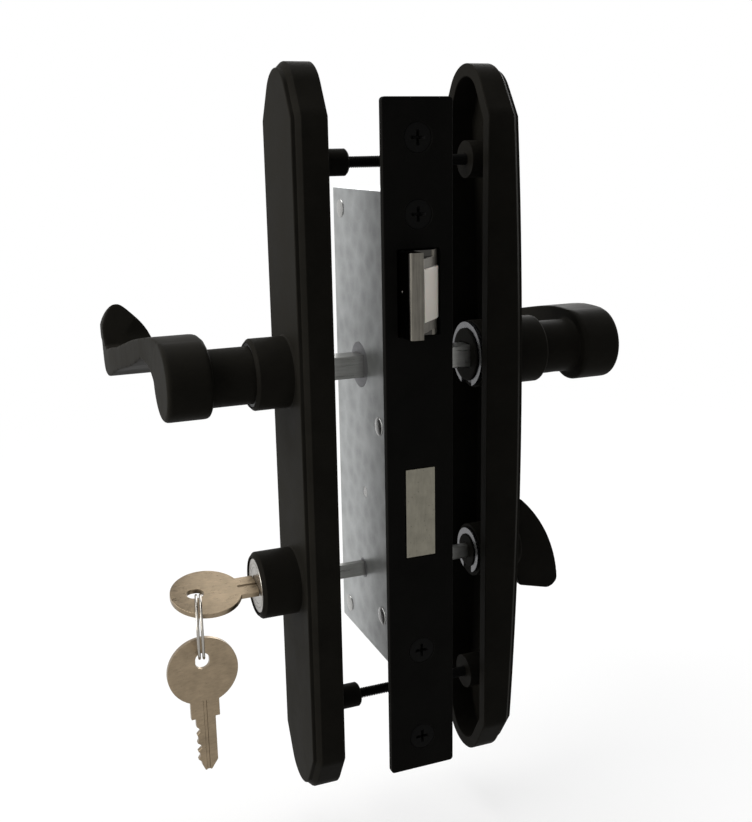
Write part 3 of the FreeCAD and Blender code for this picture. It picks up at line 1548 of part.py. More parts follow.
def key(name):
    """A key with a round bow, an oval hole, a grooved blade and one cut edge."""
    edge = blade_width / 2
    tip = key_collar_end + blade_length
    outline = [(key_collar_end - overcut, -edge)]
    for number, depth in enumerate(BITTING):
        middle = key_out + wafer_start + wafer_pitch * number + wafer_thickness / 2
        outline.append((middle - wafer_pitch / 2, -edge))
        outline.append((middle - wafer_thickness / 2, depth - edge))
        outline.append((middle + wafer_thickness / 2, depth - edge))
    outline.append((tip, -edge / 3))
    outline.append((tip, edge / 3))
    outline.append((tip - edge, edge))
    outline.append((key_collar_end - overcut, edge))
    low = -key_thickness / 2
    high = key_thickness / 2
    half_collar = key_collar_width / 2
    half_hole = key_hole_width / 2
    slot = key_hole_length / 2 - half_hole
    groove_x = (groove_start, tip + overcut)
    groove_y = (-groove_width / 2, groove_width / 2)
    return cut(
        name,
        join(
            f"{name}_solid",
            rod(f"{name}_bow", "Z", (0, 0, low), key_thickness, bow_radius),
            block(f"{name}_neck", (0, key_collar_end), (-half_collar, half_collar), (low, high)),
            prism(f"{name}_blade", "XY", outline, low, high),
        ),
        rod(f"{name}_hole_front", "Z", (slot - key_hole_place, 0, low), key_thickness, half_hole),
        rod(f"{name}_hole_back", "Z", (-slot - key_hole_place, 0, low), key_thickness, half_hole),
        block(
            f"{name}_hole_middle",
            (-slot - key_hole_place, slot - key_hole_place),
            (-half_hole, half_hole),
            (low, high),
        ),
        block(f"{name}_upper_groove", groove_x, groove_y, (high - groove_depth, key_thickness)),
        block(f"{name}_lower_groove", groove_x, groove_y, (-key_thickness, low + groove_depth)),
    )


inserted_key = key("inserted_key")
bow_x = cylinder_face - key_out
inserted_key.Placement = Placement(Vector(), Rotation(Vector(1, 0, 0), float(key_tilt)))
bind(inserted_key, ".Placement.Rotation.Angle", key_tilt)
place(inserted_key, bow_x, spindle_y, lock_z)

# Split ring: two flat turns side by side with a step between them. It hangs round the web between the
# inserted key's hole and its near edge. The step and the gaps in the turns beside it are in degrees
STEP_HALF = 25
STEP_GAP = 6
FULL_TURN = 360
ring_x = float(bow_x - key_hole_place)
lean_down = key_tilt + split_ring_lean
ring_y = spindle_y - cosine(lean_down) * split_ring_radius
ring_z = lock_z - sine(lean_down) * split_ring_radius
ring_centre = Vector(ring_x, float(ring_y), float(ring_z))
ring_yaw = math.radians(float(split_ring_yaw))
ring_side = Vector(math.cos(ring_yaw), -math.sin(ring_yaw), 0)
ring_front = Vector(math.sin(ring_yaw), math.cos(ring_yaw), 0)
ring_up = Vector(0, 0, 1)
ring_stations = []
side = float(split_ring_pitch) / 2
ring_turns = (
    (-side, STEP_HALF + STEP_GAP, FULL_TURN - STEP_HALF),
    (side, STEP_HALF, FULL_TURN - STEP_HALF - STEP_GAP),
)
for beside, first, last in ring_turns:
    for quarter in range(5):
        angle = math.radians(first + (last - first) * quarter / 4)
        radial = ring_front * math.cos(angle) + ring_up * math.sin(angle)
        along = ring_up * math.cos(angle) - ring_front * math.sin(angle)
        point = ring_centre + ring_side * beside + radial * float(split_ring_radius)
        ring_stations.append((point, along))
key_ring = doc.addObject("Part::Feature", "key_ring")
key_ring.Shape = coil("key_ring", ring_stations, float(split_ring_wire) / 2, float(split_ring_radius))

# Spare key, hanging from the ring with its blade down and its face along the door
spare_key = key("spare_key")
spare_z = ring_z - split_ring_radius - key_hang - key_hole_place
blade_down = Rotation(Vector(0, 0, -1), Vector(1, 0, 0), Vector(0, -1, 0), "ZXY")
spare_key.Placement = Placement(Vector(), blade_down)
place(spare_key, bow_x - key_hole_place, ring_y, spare_z)

parts = [
    faceplate,
    door_screws,
    case_screws,
    mortise_case,
    case_cover,
    case_rivets,
    bolt_guide_pin,
    follower_hub,
    latch_bolt,
    latch_cap,
    latch_insert,
    deadbolt,
    deadbolt_cam,
    friction_leaf,
    latch_spring,
    outside_escutcheon,
    outside_lever_collar,
    cylinder_collar,
    inside_escutcheon,
    inside_lever_collar,
    thumb_turn_boss,
    escutcheon_bolts,
    outside_bush,
    inside_bush,
    lock_cylinder,
    cylinder_nut,
    cylinder_plug,
    wafer_tumblers,
    plug_clip,
    lock_bar,
    thumb_turn,
    thumb_turn_clip,
    lever_spindle,
    *lever_rings,
    lever_set_screw,
    outside_lever,
    inside_lever,
    inserted_key,
    key_ring,
    spare_key,
]

doc.recompute()

for thing in doc.Objects:
    if "Invalid" in thing.State or "Error" in thing.State:
        raise RuntimeError(f"{thing.Name} failed: {thing.State}")
for part in parts:
    if part.Shape.isNull() or not part.Shape.isValid():
        raise RuntimeError(f"{part.Label} has no valid shape")

os.makedirs("parts", exist_ok=True)
for part in parts:
    part.Shape.exportStep(f"parts/{part.Label}.step")
    box = part.Shape.BoundBox
    print(
        f"{part.Label}: {len(part.Shape.Solids)} solids, volume {part.Shape.Volume:.1f},"
        f" X {box.XMin:.2f}..{box.XMax:.2f} Y {box.YMin:.2f}..{box.YMax:.2f} Z {box.ZMin:.2f}..{box.ZMax:.2f}"
    )
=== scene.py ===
import math

import bmesh
import bpy
from mathutils import Matrix, Vector


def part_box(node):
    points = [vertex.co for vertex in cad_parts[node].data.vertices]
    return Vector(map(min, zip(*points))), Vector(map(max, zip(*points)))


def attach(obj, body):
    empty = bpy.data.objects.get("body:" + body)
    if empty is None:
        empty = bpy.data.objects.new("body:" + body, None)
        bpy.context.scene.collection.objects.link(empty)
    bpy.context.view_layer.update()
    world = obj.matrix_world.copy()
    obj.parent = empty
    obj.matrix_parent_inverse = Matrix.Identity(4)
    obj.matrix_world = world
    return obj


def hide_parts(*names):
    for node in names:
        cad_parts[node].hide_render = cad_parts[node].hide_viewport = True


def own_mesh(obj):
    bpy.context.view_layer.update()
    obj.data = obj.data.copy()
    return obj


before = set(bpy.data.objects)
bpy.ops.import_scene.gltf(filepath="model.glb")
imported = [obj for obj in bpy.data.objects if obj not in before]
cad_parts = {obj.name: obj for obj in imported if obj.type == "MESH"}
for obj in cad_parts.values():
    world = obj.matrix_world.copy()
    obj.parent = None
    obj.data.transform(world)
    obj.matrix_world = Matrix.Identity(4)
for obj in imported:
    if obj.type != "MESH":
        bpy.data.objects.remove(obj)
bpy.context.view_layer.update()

# Faceplate. A steel strip stamped to length with two bolt windows and four countersunk screw holes.
# Its edges are tumbled before it is coated in satin black, so every edge catches a thin line of light.

MM = 0.001


def new_finish(name):
    """A new material with its nodes, its links, its shader and the place on the object."""
    made = bpy.data.materials.new(name)
    made.use_nodes = True
    nodes, links = made.node_tree.nodes, made.node_tree.links
    place = nodes.new("ShaderNodeTexCoord").outputs["Object"]
    return made, nodes, links, nodes["Principled BSDF"], place


def node_with(nodes, kind, **values):
    """A new node whose named inputs have these values. An underscore stands for a space."""
    made = nodes.new(kind)
    for name, value in values.items():
        made.inputs[name.replace("_", " ")].default_value = value
    return made


def black_coat(name, colour, rough, shine):
    """Satin black powder coat: fine orange peel, cloudy changes of tone and gloss, and a few dust specks."""
    made, nodes, links, shader, place = new_finish(name)
    peel = node_with(nodes, "ShaderNodeTexNoise", Scale=1300, Detail=4)
    cloud = node_with(nodes, "ShaderNodeTexNoise", Scale=60, Detail=9, Roughness=0.65)
    speck = node_with(nodes, "ShaderNodeTexVoronoi", Scale=420)
    colours = nodes.new("ShaderNodeValToRGB")
    colours.color_ramp.elements[0].position = 0.3
    colours.color_ramp.elements[0].color = (*[c * 0.8 for c in colour], 1)
    colours.color_ramp.elements[1].position = 0.7
    colours.color_ramp.elements[1].color = (*[c * 1.2 for c in colour], 1)
    gloss = node_with(
        nodes, "ShaderNodeMapRange", From_Min=0.3, From_Max=0.7, To_Min=rough - 0.06, To_Max=rough + 0.08
    )
    fine = node_with(nodes, "ShaderNodeBump", Strength=0.3, Distance=0.08 * MM)
    dust = node_with(nodes, "ShaderNodeBump", Strength=0.08, Distance=0.1 * MM)
    for texture in (peel, cloud, speck):
        links.new(place, texture.inputs["Vector"])
    links.new(cloud.outputs["Fac"], colours.inputs["Fac"])
    links.new(cloud.outputs["Fac"], gloss.inputs["Value"])
    links.new(peel.outputs["Fac"], fine.inputs["Height"])
    links.new(speck.outputs["Distance"], dust.inputs["Height"])
    links.new(fine.outputs["Normal"], dust.inputs["Normal"])
    links.new(colours.outputs["Color"], shader.inputs["Base Color"])
    links.new(gloss.outputs["Result"], shader.inputs["Roughness"])
    links.new(dust.outputs["Normal"], shader.inputs["Normal"])
    shader.inputs["Specular IOR Level"].default_value = shine
    return made


satin_black = black_coat("satin_black_coat", (0.0128, 0.0119, 0.0098), 0.5, 0.01)
plate_black = black_coat("faceplate_black_coat", (0.007, 0.0068, 0.0062), 0.5, 0.01)


def settled(thing):
    """The mesh of an object with its modifiers applied. The object itself is removed."""
    bpy.context.view_layer.update()
    graph = bpy.context.evaluated_depsgraph_get()
    mesh = bpy.data.meshes.new_from_object(thing.evaluated_get(graph), depsgraph=graph)
    mesh.transform(thing.matrix_world)
    data = thing.data
    bpy.data.objects.remove(thing)
    (bpy.data.curves if isinstance(data, bpy.types.Curve) else bpy.data.meshes).remove(data)
    return mesh


def loose(mesh):
    """An object for a mesh, linked to the scene while it is worked on."""
    thing = bpy.data.objects.new("work", mesh)
    bpy.context.scene.collection.objects.link(thing)
    return thing


def finished(name, mesh, material, body, sharp_degrees=32):
    """A new piece with its finish, riding on its body. Its broad faces are shaded flat."""
    mesh.shade_smooth()
    mesh.set_sharp_from_angle(angle=math.radians(sharp_degrees))
    if sharp_degrees < 180:
        thing = loose(mesh)
        level = thing.modifiers.new("level", "WEIGHTED_NORMAL")
        level.keep_sharp = True
        mesh = settled(thing)
    mesh.name = name
    piece = bpy.data.objects.new(name, mesh)
    bpy.context.scene.collection.objects.link(piece)
    mesh.materials.clear()
    mesh.materials.append(material)
    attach(piece, body)
    return piece


def combined(base, others, operation):
    """Unite meshes with a base mesh, or cut them out of it."""
    thing = loose(base)
    tools = []
    for other in others:
        tool = loose(other)
        step = thing.modifiers.new("step", "BOOLEAN")
        step.operation = operation
        step.solver = "EXACT"
        step.object = tool
        tools.append(tool)
    mesh = settled(thing)
    for tool in tools:
        data = tool.data
        bpy.data.objects.remove(tool)
        bpy.data.meshes.remove(data)
    return mesh


def plate_from(outlines, thickness, edge, placing):
    """A flat plate with rounded edges from closed outlines in its own plane, the first one the outside."""
    curve = bpy.data.curves.new("outline", "CURVE")
    curve.dimensions = "2D"
    curve.fill_mode = "BOTH"
    curve.extrude = thickness / 2 - edge
    curve.bevel_depth = edge
    curve.bevel_resolution = 2
    curve.offset = -edge
    for outline in outlines:
        spline = curve.splines.new("POLY")
        spline.points.add(len(outline) - 1)
        spline.use_cyclic_u = True
        for point, (u, v) in zip(spline.points, outline):
            point.co = (u, v, 0, 1)
    thing = bpy.data.objects.new("plate", curve)
    bpy.context.scene.collection.objects.link(thing)
    thing.matrix_world = placing
    mesh = settled(thing)
    work = bmesh.new()
    work.from_mesh(mesh)
    bmesh.ops.remove_doubles(work, verts=work.verts, dist=0.002 * MM)
    bmesh.ops.recalc_face_normals(work, faces=work.faces)
    work.to_mesh(mesh)
    work.free()
    return mesh


def mesh_from(work, name):
    """The mesh of a closed form, its faces turned outwards."""
    bmesh.ops.recalc_face_normals(work, faces=work.faces)
    mesh = bpy.data.meshes.new(name)
    work.to_mesh(mesh)
    work.free()
    return mesh


def arc_points(centre, radius, start, end, steps):
    """Points on an arc, both ends included, angles in degrees."""
    points = []
    for step in range(steps + 1):
        angle = math.radians(start + (end - start) * step / steps)
        points.append((centre[0] + radius * math.cos(angle), centre[1] + radius * math.sin(angle)))
    return points


def rounded_rectangle(low, high, radius):
    """The outline of a rectangle with rounded corners."""
    points = []
    left, right = low[0] + radius, high[0] - radius
    bottom, top = low[1] + radius, high[1] - radius
    for corner, centre in enumerate(((right, top), (left, top), (left, bottom), (right, bottom))):
        points += arc_points(centre, radius, 90 * corner, 90 * corner + 90, 5)
    return points


def turned(rows, start, direction, segments=64):
    """A turned solid. rows are (distance along the axis, radius) pairs, where a radius may be a function of
    the angle. The first and last rows are closed with a face unless their radius is nought."""
    axis = Vector(direction).normalized()
    side = axis.orthogonal().normalized()
    up = axis.cross(side)
    work = bmesh.new()
    rings = []
    for along, radius in rows:
        centre = Vector(start) + axis * along
        if not callable(radius) and radius == 0:
            rings.append([work.verts.new(centre)])
            continue
        ring = []
        for step in range(segments):
            angle = 2 * math.pi * step / segments
            reach = radius(angle) if callable(radius) else radius
            ring.append(work.verts.new(centre + (side * math.cos(angle) + up * math.sin(angle)) * reach))
        rings.append(ring)
    for first, second in zip(rings, rings[1:]):
        for step in range(segments):
            after = (step + 1) % segments
            corners = [first[step % len(first)], first[after % len(first)]]
            corners += [second[after % len(second)], second[step % len(second)]]
            work.faces.new(list(dict.fromkeys(corners)))
    for ring in (rings[0], rings[-1]):
        if len(ring) > 1:
            work.faces.new(ring)
    return mesh_from(work, "turned")


plate_low, plate_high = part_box("faceplate")
door_low, door_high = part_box("faceplate_door_screws")
case_low, case_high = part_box("faceplate_case_screws")
latch_low, latch_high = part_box("latch_cap")
bolt_low, bolt_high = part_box("deadbolt")
head_radius = door_high.x
shank_radius = 2.1 * MM
slide_gap = 0.35 * MM
deadbolt_height = 31.1 * MM
plate_edge = 0.3 * MM
plate_corner = 1.2 * MM
window_corner = 0.5 * MM
sink_play = 0.05 * MM
sink_mouth = 0.25 * MM
overrun = 1 * MM
plate_thickness = plate_high.y - plate_low.y
plate_middle = plate_low.y + plate_thickness / 2
screw_heights = [
    door_high.z - head_radius,
    case_high.z - head_radius,
    case_low.z + head_radius,
    door_low.z + head_radius,
]
plate_outlines = [
    rounded_rectangle((plate_low.x, plate_low.z), (plate_high.x, plate_high.z), plate_corner),
    rounded_rectangle(
        (latch_low.x - slide_gap, latch_low.z - slide_gap),
        (latch_high.x + slide_gap, latch_high.z + slide_gap),
        window_corner,
    ),
    rounded_rectangle(
        (bolt_low.x - slide_gap, bolt_high.z - deadbolt_height - slide_gap),
        (bolt_high.x + slide_gap, bolt_high.z + slide_gap),
        window_corner,
    ),
]
stand_up = Matrix.Translation((0, plate_middle, 0)) @ Matrix.Rotation(math.pi / 2, 4, "X")
sink_rows = [
    (-overrun, head_radius + sink_play + sink_mouth),
    (0, head_radius + sink_play + sink_mouth),
    (sink_mouth, head_radius + sink_play),
    (plate_thickness, shank_radius + sink_play),
    (plate_thickness + overrun, shank_radius + sink_play),
]
countersinks = [turned(sink_rows, (0, plate_low.y, height), (0, 1, 0)) for height in screw_heights]
plate_blank = plate_from(plate_outlines, plate_thickness, plate_edge, stand_up)
plate_mesh = combined(plate_blank, countersinks, "DIFFERENCE")
faceplate = finished("faceplate_strip", plate_mesh, plate_black, "case_and_trim")
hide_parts("faceplate")

# Faceplate screws. Steel flat-head screws with cross recesses, blackened to match the plate. The outer two
# have coarse threads and a point, the inner two machine threads for the lugs of the case.

screw_black = black_coat("blackened_screws", (0.0066, 0.0065, 0.0062), 0.4, 0.025)


def thread(core, crest, pitch, start, end, point=0, rows_per_turn=8):
    """Rows of a threaded shank: the radius rises to a crest once round each pitch. The shank narrows over
    the length of its point, if it has one."""
    rows = []
    count = round((end - start) / pitch * rows_per_turn)
    for row in range(count + 1):
        along = start + (end - start) * row / count
        narrowing = 1.0 if point == 0 else min(1.0, (end - along) / point + 0.12)

        def radius(angle, along=along, narrowing=narrowing):
            share = (along / pitch - angle / (2 * math.pi)) % 1.0
            ridge = max(0.0, 1 - abs(share - 0.5) * 3.2)
            return (core + (crest - core) * ridge) * narrowing

        rows.append((along, radius))
    return rows


def banded(work, rings):
    """Faces between each ring of points and the next, which has as many."""
    count = len(rings[0])
    for first, second in zip(rings, rings[1:]):
        for step in range(count):
            after = (step + 1) % count
            work.faces.new([first[step], first[after], second[after], second[step]])


def cross_cutter(centre, direction, recess):
    """The shape of a cross recess of a span, width and depth: two crossed blades that narrow with depth."""
    span, width, depth = recess
    axis = Vector(direction).normalized()
    side = Vector((0, 0, 1))
    across = axis.cross(side)
    blades = []
    for along, beside in ((side, across), (across, side)):
        work = bmesh.new()
        rings = []
        levels = (
            (-overrun, span / 2, width / 2),
            (0, span / 2, width / 2),
            (depth, span / 5, width / 2.6),
        )
        for level, reach, half in levels:
            middle = Vector(centre) + axis * level
            corners = ((1, 1), (-1, 1), (-1, -1), (1, -1))
            rings.append([work.verts.new(middle + along * reach * u + beside * half * v) for u, v in corners])
        banded(work, rings)
        work.faces.new(rings[0])
        work.faces.new(rings[-1])
        blades.append(mesh_from(work, "blade"))
    return blades


def joined(meshes):
    """Several meshes in one, left as separate solids."""
    work = bmesh.new()
    for mesh in meshes:
        work.from_mesh(mesh)
    mesh = bpy.data.meshes.new("joined")
    work.to_mesh(mesh)
    work.free()
    return mesh


sunk = 0.12 * MM
screw_recess = (5 * MM, 1.05 * MM, 1.7 * MM)
wood_pitch = 1.8 * MM
wood_point = 5 * MM
machine_pitch = 0.8 * MM
outer_heights = (screw_heights[0], screw_heights[3])
inner_heights = (screw_heights[1], screw_heights[2])


def faceplate_screw(height, length, pitch, point):
    """A flat-head screw whose head lies just inside the faceplate's face."""
    head = [
        (sunk, head_radius * 0.72),
        (sunk + 0.02 * MM, head_radius - 0.45 * MM),
        (sunk + 0.16 * MM, head_radius - 0.12 * MM),
        (sunk + 0.4 * MM, head_radius - 0.16 * MM),
        (plate_thickness, shank_radius * 1.02),
        (plate_thickness + 1.2 * MM, shank_radius * 0.9),
    ]
    thread_from = plate_thickness + 1.3 * MM
    shank = thread(shank_radius * 0.72, shank_radius, pitch, thread_from, plate_thickness + length, point)
    solid = turned(head + shank, (0, plate_low.y, height), (0, 1, 0), segments=48)
    cross = cross_cutter((0, plate_low.y + sunk, height), (0, 1, 0), screw_recess)
    return combined(solid, cross, "DIFFERENCE")


door_screws = joined([faceplate_screw(z, door_high.y, wood_pitch, wood_point) for z in outer_heights])
case_screws = joined([faceplate_screw(z, case_high.y, machine_pitch, 0) for z in inner_heights])
screws_into_door = finished("screws_into_door", door_screws, screw_black, "case_and_trim")
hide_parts("faceplate_door_screws")
screws_into_case = finished("screws_into_case", case_screws, screw_black, "case_and_trim")
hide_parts("faceplate_case_screws")

# Case and cover. A pan folded from zinc-plated sheet holds the works, with a flat cover riveted over it.
# The plating shows a faint spangle, and the sheet's cut edges are slightly rolled.


def metal(
    name, colour, rough, reach=(1, 1, 1), lean=(0, 0, 0), streak=0.06, cloudy=0.08, spangle=0.0, pits=0.0
):
    """A metal with polish lines, drawn out by reach along axes that lean turns, over an uneven tone."""
    made, nodes, links, shader, place = new_finish(name)
    drawn = node_with(nodes, "ShaderNodeMapping", Rotation=lean, Scale=reach)
    drawn.vector_type = "TEXTURE"
    lines = node_with(nodes, "ShaderNodeTexNoise", Scale=1500, Detail=6, Roughness=0.6)
    cloud = node_with(nodes, "ShaderNodeTexNoise", Scale=170, Detail=8, Roughness=0.62)
    flower = node_with(nodes, "ShaderNodeTexVoronoi", Scale=160)
    pit = node_with(nodes, "ShaderNodeTexVoronoi", Scale=620)
    petals = nodes.new("ShaderNodeMix")
    petals.data_type = "FLOAT"
    petals.inputs["Factor"].default_value = spangle
    shade, streaks, gloss = [
        node_with(nodes, "ShaderNodeMapRange", From_Min=0.28, From_Max=0.72, To_Min=low, To_Max=high)
        for low, high in (
            (1 - cloudy, 1 + cloudy),
            (1 - streak, 1 + streak),
            (max(0.06, rough - 0.08), rough + 0.1),
        )
    ]
    spots = node_with(nodes, "ShaderNodeMapRange", From_Min=0.08, From_Max=0.2, To_Min=1 - pits, To_Max=1)
    tone = nodes.new("ShaderNodeMath")
    tone.operation = "MULTIPLY"
    worn = nodes.new("ShaderNodeMath")
    worn.operation = "MULTIPLY"
    tint = nodes.new("ShaderNodeMix")
    tint.data_type = "RGBA"
    tint.blend_type = "MULTIPLY"
    tint.inputs["Factor"].default_value = 1
    tint.inputs["A"].default_value = (*colour, 1)
    relief = node_with(nodes, "ShaderNodeBump", Strength=0.14, Distance=0.05 * MM)
    links.new(drawn.outputs["Vector"], lines.inputs["Vector"])
    for patterned in (drawn, cloud, flower, pit):
        links.new(place, patterned.inputs["Vector"])
    links.new(cloud.outputs["Fac"], petals.inputs["A"])
    links.new(flower.outputs["Distance"], petals.inputs["B"])
    links.new(petals.outputs["Result"], shade.inputs["Value"])
    links.new(lines.outputs["Fac"], streaks.inputs["Value"])
    links.new(lines.outputs["Fac"], gloss.inputs["Value"])
    links.new(lines.outputs["Fac"], relief.inputs["Height"])
    links.new(pit.outputs["Distance"], spots.inputs["Value"])
    links.new(shade.outputs["Result"], tone.inputs[0])
    links.new(streaks.outputs["Result"], tone.inputs[1])
    links.new(tone.outputs["Value"], worn.inputs[0])
    links.new(spots.outputs["Result"], worn.inputs[1])
    links.new(worn.outputs["Value"], tint.inputs["B"])
    links.new(tint.outputs["Result"], shader.inputs["Base Color"])
    links.new(gloss.outputs["Result"], shader.inputs["Roughness"])
    links.new(relief.outputs["Normal"], shader.inputs["Normal"])
    shader.inputs["Metallic"].default_value = 1
    return made


plated_sheet = metal("plated_sheet", (0.33, 0.34, 0.34), 0.38, streak=0.03, cloudy=0.16, spangle=0.6)


def eased(node, name, width, material, body, angle=35, cutters=(), extras=()):
    """The node's own solid with its sharp edges rounded, less any cutters, with any extra solids added."""
    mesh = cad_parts[node].data.copy()
    if cutters:
        mesh = combined(mesh, cutters, "DIFFERENCE")
    work = bmesh.new()
    work.from_mesh(mesh)
    bmesh.ops.remove_doubles(work, verts=work.verts, dist=0.001 * MM)
    bmesh.ops.dissolve_limit(work, angle_limit=math.radians(1), verts=work.verts, edges=work.edges)
    edges = [
        edge
        for edge in work.edges
        if len(edge.link_faces) == 2 and edge.calc_face_angle() > math.radians(angle)
    ]
    bmesh.ops.bevel(
        work, geom=edges, offset=width, segments=2, profile=0.5, affect="EDGES", clamp_overlap=True
    )
    for extra in extras:
        work.from_mesh(extra)
    work.to_mesh(mesh)
    work.free()
    piece = finished(name, mesh, material, body)
    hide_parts(node)


sheet_edge = 0.2 * MM
eased("mortise_case", "folded_case", sheet_edge, plated_sheet, "case_and_trim")
eased("case_cover", "riveted_cover", sheet_edge, plated_sheet, "case_and_trim")

# Rivets and the guide pin. Four steel rivets clench the cover to the pan; each head is a low dome, flattened
# a little by the tool. The pin that guides the deadbolt is a fifth one, filed flush.

rivet_low, rivet_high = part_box("case_rivets")
rivet_head = 3.2 * MM
rivet_shank = 2 * MM
rivet_dome = 0.6 * MM
front_rivet_heights = (8.25 * MM, -61.45 * MM)


def rivet(y, z):
    """One rivet with a domed head at each end."""
    rows = [
        (0, 0.0),
        (0.02 * MM, rivet_head * 0.45),
        (0.12 * MM, rivet_head * 0.75),
        (0.36 * MM, rivet_head * 0.97),
        (rivet_dome, rivet_head),
        (rivet_dome + 0.02 * MM, rivet_shank),
    ]
    span = rivet_high.x - rivet_low.x
    rows += [(span - along, radius) for along, radius in reversed(rows)]
    return turned(rows, (rivet_low.x, y, z), (1, 0, 0), segments=40)


back_row = rivet_high.y - rivet_head
front_row = rivet_low.y + rivet_head
back_rivet_heights = (rivet_high.z - rivet_head, rivet_low.z + rivet_head)
rivet_spots = [(back_row, z) for z in back_rivet_heights] + [(front_row, z) for z in front_rivet_heights]
rivet_steel = metal("rivet_steel", (0.36, 0.36, 0.35), 0.3)
rivet_mesh = joined([rivet(y, z) for y, z in rivet_spots])
rivets = finished("case_rivet_set", rivet_mesh, rivet_steel, "case_and_trim")
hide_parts("case_rivets")
pin_edge = 0.15 * MM
eased("bolt_guide_pin", "deadbolt_guide_pin", pin_edge, rivet_steel, "case_and_trim")

# Escutcheons. Hollow zinc castings with a bevelled rim and a raised face, one flat and one crowned along its
# length, each with a collar for its lever. Cast bosses and bolt posts stand inside them.


def shield_outline(inset):
    """The escutcheon's outline drawn in by an inset, from the middle of its right side anticlockwise, as
    offsets from the spindle's axis in Y and as heights."""
    side_steps, flank_steps, arc_steps = 40, 4, 24
    slope = math.radians(60)
    radius = shield_arc - inset
    side = half_width - inset
    meet = radius * math.sin(slope)
    meet_z = half_length - shield_arc + radius * math.cos(slope)
    kink = meet_z - (side - meet) * math.tan(slope)
    quarter = [(side, kink * step / (side_steps / 2)) for step in range(side_steps // 2)]
    quarter += [
        (side + (meet - side) * step / flank_steps, kink + (meet_z - kink) * step / flank_steps)
        for step in range(flank_steps)
    ]
    quarter += arc_points((0, half_length - shield_arc), radius, 30, 90, arc_steps // 2)[:-1]
    top = [(0, half_length - shield_arc + radius)]
    upper = quarter + top + [(-y, z) for y, z in reversed(quarter)]
    lower = [(y, -z) for y, z in reversed(upper[1:-1])]
    return [(y, shield_centre + z) for y, z in upper + lower]


def shield(rings, door_face, out, crown_radius=0):
    """A closed hollow casting from rings of (inset, height above its back). All but its foot follows the
    crown, if it has one. The raised face and the hollow's ceiling are closed straight across."""
    work = bmesh.new()
    loops = []
    for inset, height in rings:
        loop = []
        for y, z in shield_outline(inset):
            crowned = crown_radius and height > foot_height
            drop = (z - shield_centre) ** 2 / (2 * crown_radius) if crowned else 0
            loop.append(work.verts.new((door_face + out * (height - drop), spindle_y + y, z)))
        loops.append(loop)
    banded(work, loops)
    for loop in (loops[0], loops[-1]):
        count = len(loop)
        half = count // 2
        for step in range(half // 2):
            near, far = step, half - step
            work.faces.new(list(dict.fromkeys([loop[near], loop[near + 1], loop[far - 1], loop[far]])))
            low_near, low_far = (count - step) % count, half + step
            work.faces.new(
                list(dict.fromkeys([loop[low_near], loop[low_near - 1], loop[low_far + 1], loop[low_far]]))
            )
    return mesh_from(work, "shield")


out_low, out_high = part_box("outside_escutcheon")
out_collar_low, out_collar_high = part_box("outside_lever_collar")
in_collar_low, in_collar_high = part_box("inside_lever_collar")
lock_collar_low, lock_collar_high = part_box("cylinder_collar")
boss_low, boss_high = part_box("thumb_turn_boss")
spindle_low, spindle_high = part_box("lever_spindle")
spindle_y = (spindle_low.y + spindle_high.y) / 2
spindle_z = (spindle_low.z + spindle_high.z) / 2
bar_low, bar_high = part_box("lock_bar")
lock_z = (bar_low.z + bar_high.z) / 2
shield_centre = (out_low.z + out_high.z) / 2
half_width = (out_high.y - out_low.y) / 2
half_length = (out_high.z - out_low.z) / 2
shield_arc = 13.3 * MM
outside_door = -24.4 * MM
inside_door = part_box("inside_escutcheon")[0].x
outside_height = 11.7 * MM
inside_height = 15.4 * MM
foot_height = 1 * MM
crown_drop = 4.2 * MM
crown_curve = half_length**2 / (2 * crown_drop)
hollow_inset = 4.4 * MM
wall = 2.5 * MM
face_step = 1.3 * MM
collar_radius = (out_collar_high.y - out_collar_low.y) / 2
lock_collar_radius = (lock_collar_high.y - lock_collar_low.y) / 2
boss_radius = (boss_high.y - boss_low.y) / 2
lever_bore = 11.15 * MM
lock_bore = 10.05 * MM
boss_bore = 6.45 * MM
collar_bevel = 1.2 * MM
post_bevel = 0.6 * MM
post_sink = 1 * MM
outside_post = 4.5 * MM
inside_post = 6.4 * MM
bolt_hole = 2.05 * MM
bolt_hole_floor = 5 * MM
bolt_head = 3.9 * MM
bolt_head_play = 0.35 * MM
bolt_head_height = 2.4 * MM
round_steps = 96


def rim_rings(height):
    """Rings of an escutcheon's section, from the hollow's ceiling round the rim to the raised face."""
    top = height - face_step
    return [
        (hollow_inset + 0.3 * MM, height - wall),
        (hollow_inset, height - wall - 0.3 * MM),
        (hollow_inset - 0.1 * MM, 0.2 * MM),
        (hollow_inset - 0.3 * MM, 0.0),
        (0.25 * MM, 0.0),
        (0.0, 0.25 * MM),
        (0.0, top - 1.75 * MM),
        (0.12 * MM, top - 1.45 * MM),
        (1.35 * MM, top - 0.2 * MM),
        (1.6 * MM, top - 0.05 * MM),
        (1.82 * MM, top + 0.02 * MM),
        (1.9 * MM, top + 0.14 * MM),
        (1.95 * MM, height - 0.42 * MM),
        (2.06 * MM, height - 0.17 * MM),
        (2.3 * MM, height - 0.03 * MM),
        (2.65 * MM, height),
    ]


def collar(foot, face, rim, radius, z):
    """A cast collar from its foot inside the casting to its bevelled rim, with a small fillet where it leaves
    the casting's face. It is closed at both ends."""
    out = 1 if rim > foot else -1
    rise = abs(face - foot)
    length = abs(rim - foot)
    rows = [
        (0, radius - 0.4 * MM),
        (0.4 * MM, radius),
        (rise - 0.4 * MM, radius),
        (rise, radius + 0.5 * MM),
        (rise + 0.15 * MM, radius + 0.26 * MM),
        (rise + 0.5 * MM, radius),
        (length - collar_bevel - 0.15 * MM, radius),
        (length - collar_bevel + 0.1 * MM, radius - 0.1 * MM),
        (length - 0.15 * MM, radius - collar_bevel + 0.1 * MM),
        (length, radius - collar_bevel - 0.1 * MM),
    ]
    return turned(rows, (foot, spindle_y, z), (out, 0, 0), round_steps)


